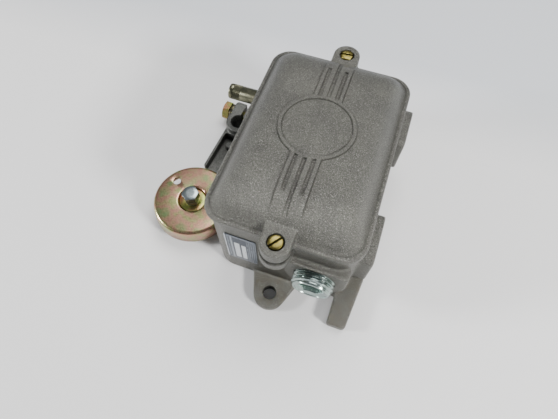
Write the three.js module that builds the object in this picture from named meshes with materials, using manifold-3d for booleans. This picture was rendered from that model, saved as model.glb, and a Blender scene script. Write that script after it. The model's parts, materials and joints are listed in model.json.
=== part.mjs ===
// Heavy-duty die-cast limit switch with its roller lever supplied loose beside it.
// Units are millimetres, +Z up. The origin is the centre of the base, X runs across the box,
// -Y is the cable-entry end and the operating shaft lies along X near the +Y end.
import * as THREE from "three";
import { mergeVertices } from "three/addons/utils/BufferGeometryUtils.js";
import Module from "manifold-3d";

const wasm = await Module();
wasm.setup();

// Fit between neighbours, and how finely round pieces are faceted.
const gap = 0.3;
const weldDistance = 1e-4;
const fineSides = 32;
const roundSides = 20;
const smallSides = 12;
const cornerSteps = 4;
const screwSides = 12;
const rollerSides = 40;

// Cover and its rim.
const rimWidth = 90;
const rimLength = 130;
const rimRadius = 12.6;
const rimTop = 71;
const rimThickness = 4;
const domeWidth = 84.4;
const domeLength = 124.4;
const domeRadius = 11;
const domeHeight = 14.1;
// How far the dome has drawn in from its foot, along Y, at each height.
const domeProfile = [[0, 0], [0.8, 0.7], [3.6, 4.3], [6.4, 7.5], [10, 10.4], [14, 12.3], [19, 13.5],
  [26, domeHeight]];
const domeSideShare = 0.72;
const coverWall = 3.5;
const raisedHeight = 0.7;
const badgeRadius = 22;
const badgeRingWidth = 2.7;
const bandHalfWidth = 8.6;
const bandReach = 57;
const longGrooveReach = 55;
const shortGrooveReach = 43.5;
const shortGrooveOffset = 5;
const grooveWidth = 1.6;

// Cover ears and their screws.
const earY = 67.6;
const coverEarRadius = 8.3;
const coverEarTop = 75.9;
const counterboreRadius = 4.6;
const counterboreFloor = 73.2;
const coverScrewHead = 4.1;
const coverScrewTop = 76.4;
const coverScrewShank = 2.4;
const coverScrewEnd = 60.5;
const coverHole = 2.8;
const housingEarRadius = 9;
const housingEarBottom = 59;
const housingEarTaper = 10;
const housingEarLean = 5;

// Housing box.
const bodyWidth = 87;
const bodyLength = 126.6;
const bodyRadius = 12.5;
const bodyTop = 66.1;
const wall = 3.2;
const floorTop = 6;
const cavityRadius = 9;

// Mounting ears and the corner foot.
const earPlateTop = 6.5;
const mountHoleY = 74.8;
const mountHoleX = -1.6;
const mountHoleRadius = 4.2;
const mountTipRadius = 10.2;
const mountRootHalf = 16.2;
const footLeft = 38;
const footRight = 53.2;
const footRightEnd = 49.8;
const footStart = 46;
const footEnd = 81.4;
const footTop = 7.6;

// Bearing pads, side pad and front cable-entry boss.
const padFace = 51.5;
const padBottom = 24;
const padTop = 53;
const shaftY = 44.5;
const shaftZ = 40.5;
const bossZ = shaftZ;
const plugZ = shaftZ;
const bearingPadHalf = 14.9;
const sidePadY = -37.8;
const sidePadHalf = 16.2;
const bossX = 23;
const bossRadius = 18;
const bossTop = 54;
const bossFace = 68;

// Blanking plug.
const plugX = 23;
const plugRadius = 12;
const plugRoot = 11;
const plugPitch = 2.2;
const plugTurns = 4;
const plugFace = 75.2;
const plugLength = 18;
const plugHexFlats = 13;
const plugHexDepth = 8;

// Nameplate on the front wall.
const plateWidth = 19.2;
const plateHeight = 34.6;
const plateX = -22.7;
const plateZ = 36.6;

// Operating shaft and its bearings.
const shaftRadius = 5.35;
const shaftLeft = -73.8;
const shaftRight = 48.2;
const knurlStart = 3;
const knurlLength = 6;
const bushRadius = 7;
const bushFlange = 8.6;
const bushFlangeThickness = 1.4;
const bushInner = shaftRadius + gap;
const bearingBore = bushRadius + gap;
const innerWallX = bodyWidth / 2 - wall;
const sealWidth = 2.6;
const clipX = -36.4;
const clipWidth = 1;
const clipRadius = 8;
const clipGroove = 4.6;

// Two-armed rocker that works both plungers.
const rockerHalf = 7;
const rockerHub = 8.3;
const rockerReach = 11;
const rockerTip = 2.3;
const rockerWeb = 1.6;

// Plungers, contact bridges and return springs.
const plungerRadius = 2;
const plungerTop = shaftZ - rockerTip - 0.4;
const collarRadius = 3;
const bridgeBottom = 20;
const bridgeThickness = 1.4;
const bridgeHalf = 17.4;
const bridgeWidth = 5;
const springFloor = 9.3;
const springRadius = 2.4;
const springWire = 0.4;
const springTurns = 3.5;

// Insulating switch block, its guide plate and the terminal block.
const blockHalf = 36.4;
const blockFront = 28.6;
const blockRear = 59.7;
const baseBottom = floorTop + gap;
const baseTop = 12.4;
const towerHalf = 23.6;
const towerTop = 28.4;
const chamberHalf = 19.6;
const chamberWidth = 6.2;
const guideBottom = 28.8;
const guideTop = 31.2;
const terminalFront = -10;
const terminalRear = 18;
const barrierTop = 20;
const barrierWidth = 1.6;
const barrierXs = [-35.2, -21, -7, 7, 21, 35.2];
const terminalY = 4;
const innerTerminalX = 14;
const outerTerminalX = 27;
const stripWidth = 4.4;
const stripBottom = baseTop + gap;
const stripTop = stripBottom + 1;
const clampSize = 8;
const clampTop = stripTop + gap + 1.2;

// Loose roller lever, drawn with the shaft bore at its own origin and the arm along -Y.
const leverX = -67.2;
const leverY = 38.5;
const leverTurn = -0.066;
const leverLength = 72.9;
const hubRadius = 9.6;
const hubHeight = 16;
const hubBore = 5.65;
const lugLength = 17.6;
const lugHalf = 9.6;
const slotHalf = 1.2;
const clampBoltY = 11.8;
const clampBoltZ = 8;
const clampHexFlats = 13;
const clampShank = 3.9;
const axleHexFlats = 10;
const axleShank = 2.9;
const armHalf = 8.6;
const armHeight = 11;
const armFloor = 5;
const armWall = 2;
const clampWasher = 2.4;
const armTipHeight = 5.4;
const armTipRadius = 9;
const armTipReach = 30;
const clampAt = [0, clampBoltY, clampBoltZ];

// Roller and its axle bolt.
const rollerRadius = 26.4;
const rollerFlare = 0.9;
const rollerBottom = 6.6;
const rollerTop = 17;
const rollerSkin = 1.8;
const rollerBore = 5.2;
const rollerSight = 2.7;
const rollerSightX = -16.4;
const rollerSightY = 8.3;
const recessRadius = 9.2;
const recessFloor = 15.2;
const collarTop = 19.6;
const boltTop = 25.4;

function orient(geometry, axis) {
  // LatheGeometry and CylinderGeometry stand on Y.
  const quarter = Math.PI / 2;
  const turns = { x: () => geometry.rotateZ(-quarter), y: () => geometry, z: () => geometry.rotateX(quarter) };
  return turns[axis]();
}

function toSolid(geometry) {
  const bare = geometry.clone();
  bare.deleteAttribute("normal");
  bare.deleteAttribute("uv");
  const welded = mergeVertices(bare, weldDistance);
  const kept = [];
  const index = welded.index.array;
  for (let i = 0; i < index.length; i += 3) {
    const [a, b, c] = [index[i], index[i + 1], index[i + 2]];
    const flat = a === b || b === c || a === c;
    kept.push(...(flat ? [] : [a, b, c]));
  }
  return new wasm.Manifold(new wasm.Mesh({
    numProp: 3,
    vertProperties: new Float32Array(welded.attributes.position.array),
    triVerts: new Uint32Array(kept),
  }));
}

function toGeometry(solid) {
  const mesh = solid.getMesh();
  const geometry = new THREE.BufferGeometry();
  geometry.setAttribute("position", new THREE.BufferAttribute(mesh.vertProperties, mesh.numProp));
  geometry.setIndex(new THREE.BufferAttribute(mesh.triVerts, 1));
  geometry.computeVertexNormals();
  return geometry;
}

function joined(...solids) {
  return solids.reduce((sum, solid) => sum.add(solid));
}

function cut(solid, ...tools) {
  return tools.reduce((left, tool) => left.subtract(tool), solid);
}

// A turned piece: [radius, height] pairs spun about an axis through `at`.
function turned(profile, axis, at = [0, 0, 0], sides = roundSides) {
  const points = profile.map(([radius, height]) => new THREE.Vector2(radius, height));
  return toSolid(orient(new THREE.LatheGeometry(points, sides), axis).translate(...at));
}

function rod(radius, from, to, axis, at = [0, 0, 0], sides = roundSides) {
  const profile = [[0, from], [radius, from], [radius, to], [0, to]];
  return turned(profile, axis, at, sides);
}

function tube(inner, outer, from, to, axis, at = [0, 0, 0], sides = roundSides) {
  const profile = [[inner, from], [outer, from], [outer, to], [inner, to], [inner, from]];
  return turned(profile, axis, at, sides);
}

function block(x0, x1, y0, y1, z0, z1) {
  const geometry = new THREE.BoxGeometry(x1 - x0, y1 - y0, z1 - z0);
  return toSolid(geometry.translate((x0 + x1) / 2, (y0 + y1) / 2, (z0 + z1) / 2));
}

function roundedOutline(width, depth, radius) {
  const shape = new THREE.Shape();
  const [w, d] = [width / 2, depth / 2];
  shape.moveTo(w - radius, -d);
  shape.absarc(w - radius, radius - d, radius, -Math.PI / 2, 0, false);
  shape.absarc(w - radius, d - radius, radius, 0, Math.PI / 2, false);
  shape.absarc(radius - w, d - radius, radius, Math.PI / 2, Math.PI, false);
  shape.absarc(radius - w, radius - d, radius, Math.PI, Math.PI * 1.5, false);
  return shape;
}

function polygon(points) {
  return new THREE.Shape(points.map(([x, y]) => new THREE.Vector2(x, y)));
}

// An outline pushed along Z, or with its plane stood up facing -X or -Y.
function pushed(shape, from, to, bevel = 0, steps = cornerSteps) {
  return new THREE.ExtrudeGeometry(shape, {
    depth: to - from - 2 * bevel,
    curveSegments: steps,
    bevelEnabled: bevel > 0,
    bevelThickness: bevel,
    bevelSize: bevel,
    bevelOffset: -bevel,
    bevelSegments: 1,
  }).translate(0, 0, from + bevel);
}

// Outline drawn in (Y, Z) and pushed along X.
function pushedAcross(shape, from, to, bevel = 0) {
  const geometry = pushed(shape, from, to, bevel);
  geometry.rotateX(Math.PI / 2);
  geometry.rotateZ(Math.PI / 2);
  return geometry;
}

// Outline drawn in (X, Z) and pushed from the face at -Y inwards.
function pushedBack(shape, face, depth, bevel = 0) {
  return pushed(shape, 0, depth, bevel).rotateX(Math.PI / 2).translate(0, face + depth, 0);
}

function hexagon(flats) {
  const corner = flats / Math.sqrt(3);
  const points = [];
  for (let i = 0; i < 6; i += 1) {
    const angle = (i + 0.5) * Math.PI / 3;
    points.push([corner * Math.cos(angle), corner * Math.sin(angle)]);
  }
  return polygon(points);
}

// A pillow-topped block on a straight skirt: the outline is drawn in step by step as it rises.
function pillow(width, length, radius, bottom, foot, rise) {
  const steps = domeProfile.length - 1;
  const geometry = new THREE.ExtrudeGeometry(roundedOutline(width, length, radius), {
    depth: steps,
    steps,
    curveSegments: cornerSteps,
    bevelEnabled: false,
  });
  const position = geometry.attributes.position;
  for (let i = 0; i < position.count; i += 1) {
    const [inset, height] = domeProfile[Math.round(position.getZ(i))];
    const x = position.getX(i) * (1 - inset * domeSideShare * 2 / width);
    const y = position.getY(i) * (1 - inset * 2 / length);
    position.setXYZ(i, x, y, foot + height * rise);
  }
  return joined(toSolid(geometry), toSolid(pushed(roundedOutline(width, length, radius), bottom, foot)));
}

function makeCover() {
  const dome = pillow(domeWidth, domeLength, domeRadius, rimTop - 1, rimTop, 1);
  const taller = pillow(domeWidth, domeLength, domeRadius, rimTop - 1, rimTop + raisedHeight, 1);
  const rim = toSolid(pushed(roundedOutline(rimWidth, rimLength, rimRadius),
    rimTop - rimThickness, rimTop, 0.6));
  const bottom = rimTop - rimThickness;
  const high = rimTop + domeHeight + raisedHeight + 1;
  const ring = tube(badgeRadius - badgeRingWidth, badgeRadius, rimTop, high, "z", [0, 0, 0], fineSides);
  const bands = block(-bandHalfWidth, bandHalfWidth, -bandReach, bandReach, rimTop, high);
  const inside = rod(badgeRadius - 0.5, rimTop, high + 1, "z", [0, 0, 0], fineSides);
  const grooves = [[0, longGrooveReach], [-shortGrooveOffset, shortGrooveReach],
    [shortGrooveOffset, shortGrooveReach]].map(([x, reach]) => block(
    x - grooveWidth / 2, x + grooveWidth / 2, -reach, reach, rimTop, high + 1));
  const raised = joined(cut(bands, inside, ...grooves), ring).intersect(taller);
  const ears = [-1, 1].map((end) => joined(
    rod(coverEarRadius, bottom, coverEarTop, "z", [0, end * earY, 0]),
    block(-coverEarRadius, coverEarRadius, Math.min(end * 52, end * earY), Math.max(end * 52, end * earY),
      bottom + 0.5, coverEarTop),
  ));
  const hollow = pillow(domeWidth - 2 * coverWall, domeLength - 2 * coverWall, domeRadius - coverWall / 2,
    bottom - 1, rimTop - 1, (domeHeight - coverWall + 1) / domeHeight);
  const holes = [];
  for (const end of [-1, 1]) {
    holes.push(rod(coverHole, bottom - 1, coverEarTop, "z", [0, end * earY, 0], smallSides));
    holes.push(rod(counterboreRadius, counterboreFloor, coverEarTop + 1, "z", [0, end * earY, 0]));
  }
  return cut(joined(dome, rim, ...ears, raised), hollow, ...holes);
}

function makeHousingEar(end) {
  const taper = new THREE.CylinderGeometry(housingEarRadius, housingEarRadius / 3, housingEarTaper, roundSides);
  const lean = new THREE.Matrix4().makeShear(0, 0, 0, 0, 0, end * housingEarLean / housingEarTaper);
  taper.rotateX(Math.PI / 2).translate(0, 0, -housingEarTaper / 2).applyMatrix4(lean);
  taper.translate(0, end * earY, housingEarBottom + gap / 10);
  const post = rod(housingEarRadius, housingEarBottom, bodyTop, "z", [0, end * earY, 0]);
  const start = Math.min(end * 62, end * earY);
  const web = block(-housingEarRadius, housingEarRadius, start, Math.max(end * 62, end * earY),
    housingEarBottom, bodyTop);
  return joined(toSolid(taper), post, web);
}

// A rounded-triangle ear drawn towards +Y and turned round for the front.
function makeMountEar(end) {
  const lean = 0.36;
  const root = bodyLength / 2 - 2;
  const shape = new THREE.Shape();
  shape.moveTo(-mountRootHalf, root);
  shape.lineTo(mountRootHalf, root);
  shape.absarc(0, mountHoleY, mountTipRadius, lean, Math.PI - lean, false);
  shape.closePath();
  const plate = pushed(shape, 0, earPlateTop, 0.8, 7);
  plate.rotateZ(end > 0 ? 0 : Math.PI);
  return toSolid(plate.translate(mountHoleX, 0, 0));
}

function makePad(side, y, half) {
  const shape = roundedOutline(2 * half, padTop - padBottom, 4);
  const from = side > 0 ? innerWallX + 0.5 : -padFace;
  const to = side > 0 ? padFace : -innerWallX - 0.5;
  return toSolid(pushedAcross(shape, from, to, 0.8).translate(0, y, (padTop + padBottom) / 2));
}

function makeEntryBoss() {
  const shape = new THREE.Shape();
  shape.moveTo(bossRadius, bossTop - bossZ);
  shape.lineTo(-bossRadius, bossTop - bossZ);
  shape.lineTo(-bossRadius, 0);
  shape.absarc(0, 0, bossRadius, Math.PI, Math.PI * 2, false);
  shape.closePath();
  const depth = bossFace - bodyLength / 2 + 2;
  return toSolid(pushed(shape, 0, depth, 0.8, 8).rotateX(Math.PI / 2)
    .translate(bossX, -bossFace + depth, bossZ));
}

function makeHousing() {
  const shell = toSolid(pushed(roundedOutline(bodyWidth, bodyLength, bodyRadius), 0, bodyTop, 0.6));
  const cavity = toSolid(pushed(roundedOutline(bodyWidth - 2 * wall, bodyLength - 2 * wall, cavityRadius),
    floorTop, bodyTop + 2));
  const footOutline = polygon([[footLeft, -footStart], [footLeft, 1.5 - footEnd], [footLeft + 1.5, -footEnd],
    [footRightEnd - 1.5, -footEnd], [footRightEnd, 1.5 - footEnd], [footRight, -footStart]]);
  const foot = toSolid(pushed(footOutline, 0, footTop, 0.8));
  const earthPost = rod(5, floorTop - 1, 10, "z", [-22, -44, 0], smallSides);
  const outer = joined(shell, makeHousingEar(-1), makeHousingEar(1), makeMountEar(-1), makeMountEar(1),
    makePad(-1, shaftY, bearingPadHalf), makePad(1, shaftY, bearingPadHalf),
    makePad(1, sidePadY, sidePadHalf), makeEntryBoss(), foot);
  const tools = [];
  for (const end of [-1, 1]) {
    tools.push(rod(coverHole, housingEarBottom + 1, bodyTop + 1, "z", [0, end * earY, 0], smallSides));
    tools.push(rod(mountHoleRadius, -1, earPlateTop + 1, "z", [mountHoleX, end * mountHoleY, 0]));
  }
  tools.push(rod(bearingBore, -padFace - 1, -innerWallX + 1, "x", [0, shaftY, shaftZ]));
  tools.push(rod(bearingBore, innerWallX - 1, shaftRight + 0.9, "x", [0, shaftY, shaftZ]));
  tools.push(rod(plugRadius + gap, -bossFace - 1, -bodyLength / 2 + wall + 1, "y", [plugX, 0, plugZ],
    fineSides));
  for (const x of [-32.6, 32.6]) {
    tools.push(rod(2.1, 2, floorTop + 1, "z", [x, shaftY, 0], smallSides));
  }
  for (const y of [-5, 13]) {
    tools.push(rod(2.1, 2, floorTop + 1, "z", [0, y, 0], smallSides));
  }
  tools.push(rod(2.1, 3, 11, "z", [-22, -44, 0], smallSides));
  return cut(outer.subtract(cavity).add(earthPost), ...tools);
}

function makeGasket() {
  const top = rimTop - rimThickness - 0.1;
  const outer = roundedOutline(bodyWidth - 2, bodyLength - 2, bodyRadius - 1);
  const inner = roundedOutline(bodyWidth - 5.6, bodyLength - 5.6, bodyRadius - 2.8);
  return cut(toSolid(pushed(outer, bodyTop + 0.1, top)), toSolid(pushed(inner, bodyTop - 1, top + 1)));
}

// A slotted screw standing on Z with a domed cheese head.
function slottedScrew(at, headRadius, headBottom, headTop, shankRadius, end, turn) {
  const profile = [[0, end], [shankRadius, end + 0.6], [shankRadius, headBottom], [headRadius, headBottom],
    [headRadius, headTop - 0.8], [headRadius * 0.8, headTop - 0.2], [0, headTop]];
  const slot = new THREE.BoxGeometry(3 * headRadius, headRadius * 0.28, 2.4).rotateZ(turn)
    .translate(at[0], at[1], headTop);
  return turned(profile, "z", [at[0], at[1], 0], screwSides).subtract(toSolid(slot));
}

function makePlug() {
  const profile = [[0, 0], [plugRoot - 0.6, 0]];
  for (let i = 0; i < plugTurns; i += 1) {
    const start = 0.3 + i * plugPitch;
    const crest = start + plugPitch / 2;
    profile.push([plugRoot, start], [plugRadius, crest - 0.2], [plugRadius, crest + 0.2]);
  }
  profile.push([plugRoot, 0.3 + plugTurns * plugPitch], [plugRoot, plugLength], [0, plugLength]);
  const threaded = turned(profile, "y", [plugX, -plugFace, plugZ], fineSides);
  const socket = toSolid(pushedBack(hexagon(plugHexFlats), -plugFace - 1, plugHexDepth + 1)
    .translate(plugX, 0, plugZ));
  const mouth = plugRoot - 1.8;
  const dish = turned([[0, -1], [mouth, -1], [mouth, 0.6], [plugHexFlats / 2, 2.2], [0, 2.2]],
    "y", [plugX, -plugFace, plugZ], fineSides);
  return cut(threaded, socket, dish);
}

function makeNameplate() {
  const face = -bodyLength / 2 - 0.05;
  return toSolid(pushedBack(roundedOutline(plateWidth, plateHeight, 1), face - 0.5, 0.5)
    .translate(plateX, 0, plateZ));
}

function makeShaft() {
  const r = shaftRadius;
  const profile = [[0, shaftLeft], [r - 0.8, shaftLeft], [r, shaftLeft + 0.8], [r, shaftLeft + knurlStart],
    [r - 0.5, shaftLeft + knurlStart + 0.3], [r - 0.5, shaftLeft + knurlStart + knurlLength - 0.3],
    [r, shaftLeft + knurlStart + knurlLength], [r, clipX - 0.3], [clipGroove, clipX - 0.3],
    [clipGroove, clipX + clipWidth + 0.3], [r, clipX + clipWidth + 0.3], [r, shaftRight - 0.6],
    [r - 0.6, shaftRight], [0, shaftRight]];
  const solid = turned(profile, "x", [0, shaftY, shaftZ]);
  const teeth = 14;
  const ribs = [];
  for (let i = 0; i < teeth; i += 1) {
    const rib = new THREE.BoxGeometry(knurlLength, 0.9, 1.1);
    rib.translate(shaftLeft + knurlStart + knurlLength / 2, 0, r - 0.6);
    rib.rotateX(i * 2 * Math.PI / teeth).translate(0, shaftY, shaftZ);
    ribs.push(toSolid(rib));
  }
  const flat = rod(2.1, r - 1, r + 1, "z", [0, shaftY, shaftZ], 12);
  return cut(joined(solid, ...ribs), flat);
}

function makeRocker() {
  const at = [0, shaftY, shaftZ];
  let rocker = rod(rockerHub, -rockerHalf, rockerHalf, "x", at);
  for (const side of [-1, 1]) {
    const y = shaftY + side * rockerReach;
    rocker = rocker.add(rod(rockerTip, -rockerHalf, rockerHalf, "x", [0, y, shaftZ], smallSides));
    rocker = rocker.add(block(-rockerHalf, rockerHalf, Math.min(y, shaftY), Math.max(y, shaftY),
      shaftZ - rockerWeb, shaftZ + rockerWeb));
  }
  return cut(rocker, rod(shaftRadius + gap, -rockerHalf - 1, rockerHalf + 1, "x", at),
    rod(2.2, 0, rockerHub + 1, "z", at, smallSides));
}

function makeRockerScrew() {
  const bottom = shaftZ + shaftRadius - 0.6;
  const body = turned([[0, bottom], [1, bottom], [1.9, bottom + 1], [1.9, bottom + 4.4], [0, bottom + 4.4]],
    "z", [0, shaftY, 0], 14);
  return body.subtract(toSolid(pushed(hexagon(2), bottom + 2.4, bottom + 6).translate(0, shaftY, 0)));
}

function makeSwitchBlock() {
  const base = toSolid(pushed(roundedOutline(2 * blockHalf, blockRear - blockFront, 6), baseBottom, baseTop)
    .translate(0, (blockRear + blockFront) / 2, 0));
  const tower = block(-towerHalf, towerHalf, blockFront, blockRear, baseTop - 1, towerTop);
  const tools = [];
  for (const side of [-1, 1]) {
    const y = shaftY + side * rockerReach;
    tools.push(block(-chamberHalf, chamberHalf, y - chamberWidth / 2, y + chamberWidth / 2, baseTop,
      towerTop + 1));
    tools.push(rod(springRadius + springWire + 0.4, springFloor - gap, baseTop + 1, "z", [0, y, 0]));
    tools.push(rod(2.1, baseBottom - 1, baseTop + 1, "z", [side * 32.6, shaftY, 0], smallSides));
    const inner = side * innerTerminalX;
    tools.push(block(inner - stripWidth / 2 - gap, inner + stripWidth / 2 + gap, blockFront - 1,
      shaftY - rockerReach, baseTop, stripTop + gap));
    const from = Math.min(side * 18, side * (towerHalf + 1));
    tools.push(block(from, from + towerHalf + 1 - 18, shaftY + rockerReach - stripWidth / 2 - gap,
      shaftY + rockerReach + stripWidth / 2 + gap, baseTop, stripTop + gap));
  }
  tools.push(block(-towerHalf + 4, towerHalf - 4, shaftY - 4, shaftY + 4, 16, towerTop + 1));
  return cut(joined(base, tower), ...tools);
}

function makeGuidePlate() {
  const plate = block(-towerHalf, towerHalf, blockFront, blockRear, guideBottom, guideTop);
  const tools = [block(-towerHalf + 4, towerHalf - 4, shaftY - 4, shaftY + 4, guideBottom - 1, guideTop + 1)];
  for (const side of [-1, 1]) {
    tools.push(rod(plungerRadius + 0.4, guideBottom - 1, guideTop + 1, "z",
      [0, shaftY + side * rockerReach, 0], smallSides));
  }
  return cut(plate, ...tools);
}

function makePlunger(y) {
  const spigot = plungerRadius * 0.8;
  const collarBottom = bridgeBottom + bridgeThickness + gap;
  const profile = [[0, bridgeBottom - 0.4], [spigot, bridgeBottom - 0.4], [spigot, collarBottom],
    [collarRadius, collarBottom], [collarRadius, collarBottom + 1.2], [plungerRadius, collarBottom + 1.2],
    [plungerRadius, plungerTop - 0.5], [plungerRadius - 0.5, plungerTop], [0, plungerTop]];
  return turned(profile, "z", [0, y, 0], smallSides);
}

function makeBridge(y) {
  const bar = toSolid(pushed(roundedOutline(2 * bridgeHalf, bridgeWidth, 1), bridgeBottom,
    bridgeBottom + bridgeThickness).translate(0, y, 0));
  const tips = [-1, 1].map((side) => turned([[0, bridgeBottom - 0.5], [1.4, bridgeBottom - 0.5],
    [1.8, bridgeBottom - 0.2], [1.8, bridgeBottom + 0.5], [0, bridgeBottom + 0.5]], "z",
    [side * innerTerminalX, y, 0], smallSides));
  return cut(joined(bar, ...tips), rod(plungerRadius * 0.8 + gap, bridgeBottom - 1, bridgeBottom + 3, "z",
    [0, y, 0], smallSides));
}

// A coil of round wire swept along a helix about Z.
function makeSpring(y) {
  class Helix extends THREE.Curve {
    getPoint(t, target = new THREE.Vector3()) {
      const angle = t * springTurns * 2 * Math.PI;
      const rise = bridgeBottom - gap - springFloor - 2 * springWire;
      return target.set(springRadius * Math.cos(angle), springRadius * Math.sin(angle),
        springFloor + springWire + t * rise);
    }
  }
  const section = new THREE.Shape();
  section.absarc(0, 0, springWire, 0, 2 * Math.PI, false);
  const coil = new THREE.ExtrudeGeometry(section, {
    steps: springTurns * 10,
    curveSegments: 3,
    bevelEnabled: false,
    extrudePath: new Helix(),
  });
  return toSolid(coil.translate(0, y, 0));
}

// Brass strip from under a bridge tip forward to a terminal. Inner strips are straight, outer ones turn.
function makeStrip(side, outer) {
  const half = stripWidth / 2;
  const x = side * (outer ? outerTerminalX : innerTerminalX);
  const front = terminalY - 5;
  const rearY = shaftY + (outer ? rockerReach : -rockerReach);
  let strip = block(x - half, x + half, front, rearY + half, stripBottom, stripTop);
  if (outer) {
    const inner = side * (innerTerminalX - half);
    strip = strip.add(block(Math.min(inner, x), Math.max(inner, x), rearY - half, rearY + half,
      stripBottom, stripTop));
  }
  return strip.subtract(rod(2.1, stripBottom - 1, stripTop + 1, "z", [x, terminalY, 0], smallSides));
}

function makeClamp(x) {
  const plate = toSolid(pushed(roundedOutline(clampSize, clampSize, 0.8), stripTop + gap, clampTop, 0, 2)
    .translate(x, terminalY, 0));
  return plate.subtract(rod(2.1, stripTop, clampTop + 1, "z", [x, terminalY, 0], smallSides));
}

function makeTerminalBlock() {
  let base = block(-blockHalf, blockHalf, terminalFront, terminalRear, baseBottom, baseTop);
  for (const x of barrierXs) {
    base = base.add(block(x - barrierWidth / 2, x + barrierWidth / 2, terminalFront, terminalRear,
      baseTop - 1, barrierTop));
  }
  const tools = [];
  for (const x of [-outerTerminalX, -innerTerminalX, innerTerminalX, outerTerminalX]) {
    tools.push(rod(2.1, baseBottom + 1, baseTop + 1, "z", [x, terminalY, 0], smallSides));
  }
  for (const y of [-5, 13]) {
    tools.push(rod(2.1, baseBottom - 1, baseTop + 1, "z", [0, y, 0], smallSides));
  }
  return cut(base, ...tools);
}

function makeLeverArm() {
  const hub = rod(hubRadius, 0, hubHeight, "z", [0, 0, 0], fineSides);
  const lug = toSolid(pushed(roundedOutline(2 * lugHalf, lugLength, 2), 0, hubHeight, 0.6)
    .translate(0, lugLength / 2, 0));
  const bend = armTipReach - leverLength;
  const arm = toSolid(pushed(polygon([[-armHalf, 0], [-armHalf, bend], [-armTipRadius, -leverLength],
    [armTipRadius, -leverLength], [armHalf, bend], [armHalf, 0]]), 0, armTipHeight));
  const walls = toSolid(pushed(roundedOutline(2 * armHalf, -bend, 1.5), 0, armHeight, 0.5)
    .translate(0, bend / 2, 0));
  const tip = rod(armTipRadius, 0, armTipHeight, "z", [0, -leverLength, 0], fineSides);
  const pocketStart = -hubRadius - 0.6;
  const pocketLength = pocketStart - bend + 1.5;
  const pocketOutline = roundedOutline(2 * (armHalf - armWall), pocketLength, 1.5);
  const pocket = toSolid(pushed(pocketOutline, armFloor, hubHeight + 1)
    .translate(0, pocketStart - pocketLength / 2, 0));
  const stud = rod(2.6, armFloor - 1, 8.4, "z", [0, -hubRadius - 8, 0], smallSides);
  const bore = rod(hubBore, -1, hubHeight + 1, "z");
  const slot = block(-slotHalf, slotHalf, 0, lugLength + 1, -1, hubHeight + 1);
  const boltHole = rod(clampShank + 0.4, -lugHalf - 1, lugHalf + 1, "x", clampAt, smallSides);
  const axleHole = rod(axleShank + 0.4, -1, armTipHeight + 1, "z", [0, -leverLength, 0], smallSides);
  const nutPocket = toSolid(pushed(hexagon(axleHexFlats + 0.8), -1, 2.6).translate(0, -leverLength, 0));
  return cut(cut(joined(hub, lug, arm, walls, tip), pocket).add(stud), bore, slot, boltHole, axleHole, nutPocket);
}

// A hexagon-headed bolt about Z, head upwards with a chamfered rim.
function hexBolt(flats, headBottom, headTop, shankRadius, end) {
  const corner = flats / Math.sqrt(3);
  const head = toSolid(pushed(hexagon(flats), headBottom, headTop));
  const dome = turned([[0, headBottom - 1], [corner + 1, headBottom - 1], [corner + 1, headTop - 1.3],
    [corner - 0.7, headTop], [0, headTop]], "z");
  return head.intersect(dome).add(rod(shankRadius, end, headBottom + 0.5, "z", [0, 0, 0], smallSides));
}

function makeClampBolt() {
  const head = lugHalf + gap + clampWasher + gap;
  const geometry = toGeometry(hexBolt(clampHexFlats, head, head + 5.4, clampShank, -lugHalf - 8));
  return toSolid(geometry.rotateY(-Math.PI / 2).translate(...clampAt));
}

// A pressed cup, open underneath, with a rounded upper edge and a dished centre.
function makeRoller() {
  const r = rollerRadius;
  const mouth = r + rollerFlare;
  const under = rollerTop - rollerSkin;
  const well = recessRadius + rollerSkin;
  const profile = [[rollerBore, 9.6], [well, 10.2], [well, under], [r - rollerSkin, under],
    [mouth - rollerSkin, rollerBottom], [mouth, rollerBottom], [r + 0.2, rollerTop - 2.2],
    [r - 0.5, rollerTop - 0.7], [r - 2, rollerTop], [recessRadius + 0.6, rollerTop],
    [recessRadius, rollerTop - 0.6], [recessRadius, 11.8], [rollerBore, 11.4], [rollerBore, 9.6]];
  const sight = rod(rollerSight, rollerTop - 4, rollerTop + 1, "z", [rollerSightX, rollerSightY, 0], smallSides);
  return turned(profile, "z", [0, 0, 0], rollerSides).subtract(sight);
}

function makeRollerBush() {
  const profile = [[3.3, 6.9], [rollerBore - gap, 6.9], [rollerBore - gap, 11.9], [recessRadius - 0.5, 12.3],
    [recessRadius - 0.5, recessFloor], [3.3, recessFloor], [3.3, 6.9]];
  return turned(profile, "z");
}

const finishes = {
  casting: { color: 0x7b7a76, roughness: 0.72, metalness: 0.45 },
  lever: { color: 0x3d4146, roughness: 0.65, metalness: 0.5 },
  brass: { color: 0xb7a04c, roughness: 0.35, metalness: 0.95 },
  zinc: { color: 0xa9b6b4, roughness: 0.32, metalness: 0.9 },
  chromate: { color: 0xa59a63, roughness: 0.4, metalness: 0.85 },
  roller: { color: 0xb08f78, roughness: 0.34, metalness: 0.85 },
  silver: { color: 0xb4bcc0, roughness: 0.3, metalness: 0.95 },
  bronze: { color: 0x9c7440, roughness: 0.45, metalness: 0.85 },
  steel: { color: 0x8c9094, roughness: 0.4, metalness: 0.9 },
  rubber: { color: 0x1d1d1e, roughness: 0.9, metalness: 0 },
  phenolic: { color: 0x2a2320, roughness: 0.5, metalness: 0 },
  white: { color: 0xd8d4c6, roughness: 0.5, metalness: 0 },
  foil: { color: 0x9aa1a8, roughness: 0.3, metalness: 0.7 },
};

const object = new THREE.Group();
const lever = new THREE.Group();
lever.position.set(leverX, leverY, 0);
lever.rotation.z = leverTurn;
object.add(lever);

function place(name, solid, finish, parent = object, offset = [0, 0, 0]) {
  const mesh = new THREE.Mesh(toGeometry(solid), new THREE.MeshStandardMaterial(finishes[finish]));
  mesh.name = name;
  mesh.position.set(...offset);
  parent.add(mesh);
}

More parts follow.
